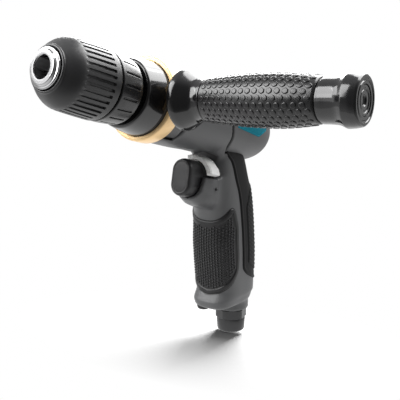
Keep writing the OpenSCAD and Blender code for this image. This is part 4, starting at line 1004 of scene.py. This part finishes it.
def trigger_loop(depth, shrink):
    """A stadium across the trigger's travel."""
    r, reach = TRIGGER_W / 2 - shrink, (TRIGGER_H - TRIGGER_W) / 2
    foot = PIN_STEP_FOOT if depth > PIN_STEP_C else -TRIGGER_H
    half = np.linspace(0, math.pi, 37)
    turn = np.concatenate([half, half + math.pi])
    middle = np.repeat([reach, -reach], len(half))
    z = np.maximum(middle + r * np.sin(turn), foot) + TRIGGER_Z
    return across(TRIGGER_C + depth, r * np.cos(turn), z)


trigger = loft("trigger_moulded", [trigger_loop(*row) for row in TRIGGER_ROWS], 60)
finish_piece(trigger, "trigger", "trigger_black", "trigger_cap")


# Reversing lever: the arch over the trigger with a blocky thumb tab at its low end, and its plate

LEVER_IN, LEVER_OUT, LEVER_FRONT, LEVER_BACK = 14.1, 17.7, 142.6, 153.6
TAB_IN, TAB_OUT, TAB_FRONT = 0.15, 0.7, 0.4
LEVER_END_SHARE, CAST_DEPTH, CAST_SETBACK = 0.86, 0.13, 0.08
PLATE_R, HUB_R = 14.6, 9.5
PLATE_ROWS = ((152.9, 0.5), (152.75, 0.95), (152.75, 1), (153, 1), (155.6, 1), (155.9, 0.96))


def rough(p):
    """A small repeatable unevenness of a cast surface."""
    return (np.sin(p[:, 0] * 2.1 + p[:, 1] * 1.3) * np.sin(p[:, 1] * 1.9 - p[:, 2] * 2.3)
            + 0.6 * np.sin(p[:, 0] * 3.7 - p[:, 2] * 2.9) * np.sin(p[:, 1] * 4.1 + 1))


def lever_section(degrees):
    """The arch's section at a turn, with its corners broken; both ends are a little smaller."""
    tab = ramp(degrees, 54, 6)
    inner, outer = LEVER_IN - TAB_IN * tab, LEVER_OUT + TAB_OUT * tab
    front, back = LEVER_FRONT - TAB_FRONT * tab, LEVER_BACK
    corners = [(inner + 0.4, front), (outer - 0.8, front), (outer, front + 0.9), (outer, back - 0.6),
               (outer - 0.6, back), (inner + 0.5, back), (inner, back - 0.5), (inner, front + 0.4)]
    outline = dense(np.array(corners + corners[:1]), 0.75)[:-1]
    share = 1.0 if -19 < degrees < 76 else LEVER_END_SHARE
    middle = np.array([(inner + outer) / 2, (front + back) / 2])
    r, c = (middle + (outline - middle) * share).T
    turn = math.radians(degrees)
    return np.stack([-c, r * math.sin(turn), r * math.cos(turn) + TRIGGER_Z], 1)


def lever_piece():
    arch, tab = np.linspace(-20, 56, 58), np.linspace(57.5, 76.5, 22)
    sections = [lever_section(degrees) for degrees in np.concatenate([arch, tab])]
    count = min(len(section) for section in sections)
    loops = []
    for section in sections:
        loop = section[np.linspace(0, len(section), count, endpoint=False).astype(int)]
        outward = unit(loop - loop.mean(0))
        loops.append(loop + outward * (rough(loop) * CAST_DEPTH - CAST_SETBACK)[:, None])
    return loft("reverse_lever_cast", loops, 35)


def lever_plate():
    """The dark plate that joins the arch to the reversing valve."""
    web, hub = np.radians(np.linspace(-19, 75, 48)), np.radians(np.linspace(75, 341, 60))
    turn = np.concatenate([web, hub])
    radius = np.concatenate([np.full(len(web), PLATE_R), np.full(len(hub), HUB_R)])
    y, z = radius * np.sin(turn), radius * np.cos(turn)
    loops = [across(c, y * share, z * share + TRIGGER_Z) for c, share in PLATE_ROWS]
    return loft("reverse_lever_plate", loops, 40)


finish_piece(lever_plate(), "reverse_lever", "trigger_black")
finish_piece(lever_piece(), "reverse_lever", "lever_cast", "reverse_lever")


# Cross pin, with its ends inside the wall, and the pin behind it that shows on the grip's side

CROSS_PIN_HALF = 12.6
VALVE_PIN_C, VALVE_PIN_Z, VALVE_PIN_HALF = 156.8, -50, 14.65


def pin_piece(name, c, z, half):
    def place(along, radius, turn):
        return np.stack([-c + radius * np.cos(turn), along, z + radius * np.sin(turn)], -1)

    profile = rounded([(-half, 0.1), (-half, 0.85, 0.3), (-half + 0.4, 1.15, 0.3), (half - 0.4, 1.15, 0.3),
                       (half, 0.85, 0.3), (half, 0.1)], 4)
    return lathe(name, profile, place, 32, closed=False)


pin_low, pin_high = (np.array(v, float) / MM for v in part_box("cross_pin"))
pin_mid = (pin_low + pin_high) / 2
cross_pin = pin_piece("cross_pin_steel", -pin_mid[0], pin_mid[2], CROSS_PIN_HALF)
finish_piece(cross_pin, "housing", "fastener_black", "cross_pin")
valve_pin = pin_piece("valve_pin_steel", VALVE_PIN_C, VALVE_PIN_Z, VALVE_PIN_HALF)
finish_piece(valve_pin, "housing", "fastener_black")


# Inlet; its rows are (down the axis, radius)

HEX_HALF, HEX_CORNER, HEX_TWIST = 11.6, 12.55, math.radians(10)
HEX_ROWS = ((145.3, 11.9), (145.8, 12.5), (146.3, HEX_CORNER), (152, HEX_CORNER), (152.5, 12.5),
            (152.9, 11.8))
THREAD_PITCH, THREAD_R, THREAD_ROOT = 1.41, 5.95, 6.55


def inlet_piece():
    """A hexagon with turned ends, the plain collar below it and its threaded hole."""
    turn = even_turns(96)
    hexagon = HEX_HALF / np.cos((turn - HEX_TWIST) % (math.pi / 3) - math.pi / 6)
    rows = [(142, 9), (142, 12), (144.4, 12.4), (145, 12), (145.1, 11.7)]
    rows += [(d, np.minimum(hexagon, r)) for d, r in HEX_ROWS]
    rows += [(153.2, 11.3), (153.6, 11.35), (154.1, 11.6), (162.4, 11.15), (163.2, 10.8), (163.8, 10),
             (163.9, 7.2), (163.3, 6.5)]
    depth = 163.0
    while depth > 151:
        rows += [(depth, THREAD_R), (depth - 0.7, THREAD_ROOT), (depth - 1.4, THREAD_R)]
        depth -= THREAD_PITCH
    rows += [(150, 5.9), (150, 0.4)]
    return loft("inlet_fitting", [on_inlet(d, r, turn) for d, r in rows], 34)


finish_piece(inlet_piece(), "housing", "inlet_dark", "inlet_bushing")


# Floor, in metres; FOOT is the place under the grip, where the shadow starts

TO_CAMERA = (0.816, 0.578, 0)
FLOOR_Z = float(CAD_BOX[0][2]) - 0.0002
FOOT, FLOOR_MIDDLE, FLOOR_R = (-0.2226, 0, FLOOR_Z), (-0.3856, -0.116), 0.46
PAPER = (0.34, 0.34, 0.34, 1)
FADE_NEAR, FADE_FAR = 0.03, 0.17
BOUNCE_SPAN, BOUNCE_BACK, BOUNCE_FRONT = 0.25, 1.35, 0.65


def floor_look():
    """The camera sees lit paper near the foot and plain white further off; the tool sees a soft glow."""
    mat = bpy.data.materials.new("floor_white")
    mat.use_nodes = True
    tree = mat.node_tree
    tree.nodes.remove(tree.nodes["Principled BSDF"])
    add = node_maker(tree)
    place = add("TexCoord", "Object")
    camera_ray = add("LightPath", "Is Camera Ray")
    from_foot = add("VectorMath", "Vector", {0: place, 1: FOOT}, operation="SUBTRACT")
    away = add("VectorMath", "Value", {0: from_foot}, operation="LENGTH")
    fade = add("MapRange", "Result", {"Value": away, "From Min": FADE_NEAR, "From Max": FADE_FAR})
    seen = add("Math", "Value", {0: fade, 1: camera_ray}, operation="MULTIPLY")
    paper = add("BsdfDiffuse", "BSDF", {"Color": PAPER})
    white = add("Emission", "Emission", {"Strength": 1.0})
    sheet = add("MixShader", "Shader", {"Fac": seen, 1: paper, 2: white})
    side = add("VectorMath", "Value", {0: place, 1: TO_CAMERA}, operation="DOT_PRODUCT")
    level = add("MapRange", "Result", {
        "Value": side, "From Min": -BOUNCE_SPAN, "From Max": BOUNCE_SPAN,
        "To Min": BOUNCE_BACK, "To Max": BOUNCE_FRONT})
    bounce = add("Emission", "Emission", {"Strength": level})
    both = add("MixShader", "Shader", {"Fac": camera_ray, 1: bounce, 2: sheet})
    feed(tree, tree.nodes["Material Output"], {"Surface": both})
    return mat


disc = np.array([(FLOOR_MIDDLE[0] + FLOOR_R * math.cos(t), FLOOR_MIDDLE[1] + FLOOR_R * math.sin(t), FLOOR_Z)
                 for t in even_turns(96)])
floor = add_mesh("floor", disc / MM, [lid(0, len(disc))])
floor.data.materials.append(floor_look())


# Light and camera

def studio():
    """A white room to the camera; the tool sees it grey, and darker on the camera's side."""
    world = bpy.data.worlds.new("studio")
    scene.world = world
    world.use_nodes = True
    tree = world.node_tree
    tree.nodes.clear()
    add = node_maker(tree)
    place = add("TexCoord", "Generated")
    toward_camera = add("VectorMath", "Value", {0: place, 1: TO_CAMERA}, operation="DOT_PRODUCT")
    shade = {"From Min": 0.25, "From Max": 0.8, "To Min": 0.72, "To Max": 0.11}
    room = add("MapRange", "Result", {"Value": toward_camera, **shade}, interpolation_type="SMOOTHSTEP")
    fill = add("Background", "Background", {"Strength": room})
    white = add("Background", "Background", {"Color": (1, 1, 1, 1)})
    camera_ray = add("LightPath", "Is Camera Ray")
    through_ray = add("LightPath", "Is Transmission Ray")
    seen = add("Math", "Value", {0: camera_ray, 1: through_ray}, operation="MAXIMUM")
    both = add("MixShader", "Shader", {"Fac": seen, 1: fill, 2: white})
    feed(tree, tree.nodes.new("ShaderNodeOutputWorld"), {"Surface": both})


def area_light(name, place, target, size_x, size_y, power):
    data = bpy.data.lights.new(name, "AREA")
    data.shape = "RECTANGLE"
    data.size, data.size_y, data.energy = size_x, size_y, power
    obj = bpy.data.objects.new(name, data)
    scene.collection.objects.link(obj)
    obj.location = place
    obj.rotation_euler = (Vector(target) - Vector(place)).to_track_quat("-Z", "Y").to_euler()
    return obj


def light_only(title, members, lamps):
    """Lets some lamps light some pieces alone."""
    group = bpy.data.collections.new(title)
    for obj in members:
        group.objects.link(obj)
    for lamp in lamps:
        lamp.light_linking.receiver_collection = group


studio()
CENTRE = (-0.11, 0.02, -0.03)
tool_lamps = [
    area_light("left_box", (0.7, -0.29, 0.42), (-0.085, 0.05, 0), 0.5, 0.9, 10),
    area_light("left_high", (0.34, -0.59, 0.4), (-0.18, 0, -0.13), 0.5, 0.5, 4.5),
    area_light("front_card", (0.75, -0.55, 0.02), (0, 0, 0), 0.6, 0.6, 1.1),
    area_light("right_box", (-0.38, 0.32, 0.83), CENTRE, 0.77, 0.77, 13.5),
    area_light("over_box", (-0.74, -0.17, 0.74), CENTRE, 0.6, 0.6, 6.5),
    area_light("right_card", (-0.75, 0.75, 0.05), CENTRE, 0.5, 0.5, 0.35),
    area_light("rim_box", (-0.78, -0.46, 0.5), CENTRE, 0.8, 0.5, 11.5)]
floor_lamp = area_light("floor_lamp", (-1.08, -0.33, 0.3), (-0.2, 0, -0.15), 0.38, 0.5, 90)

# The tool has its own lamps, and the floor takes its shadow from the lamp behind
light_only("lit_tool", [o for o in scene.objects if o.type == "MESH" and o is not floor], tool_lamps)
light_only("lit_floor", [floor], [floor_lamp])

# The camera that was fitted to the photo
RIGHT = Vector((-0.57407, 0.8099, 0.12046))
UP = Vector((0.07181, -0.09676, 0.99271))
BACK = Vector((0.81565, 0.57854, -0.00261))
EYE = Vector((0.204873, 0.256855, -0.060153))
SENSOR, FOCAL_PIXELS, PHOTO_PIXELS = 36, 602.76, 400
camera_data = bpy.data.cameras.new("camera")
camera_data.sensor_width = SENSOR
camera_data.lens = SENSOR * FOCAL_PIXELS / PHOTO_PIXELS
camera_data.clip_start = 0.01
camera = bpy.data.objects.new("camera", camera_data)
scene.collection.objects.link(camera)
camera.matrix_world = Matrix.Translation(EYE) @ Matrix((RIGHT, UP, BACK)).transposed().to_4x4()
scene.camera = camera
scene.view_settings.view_transform = "Standard"
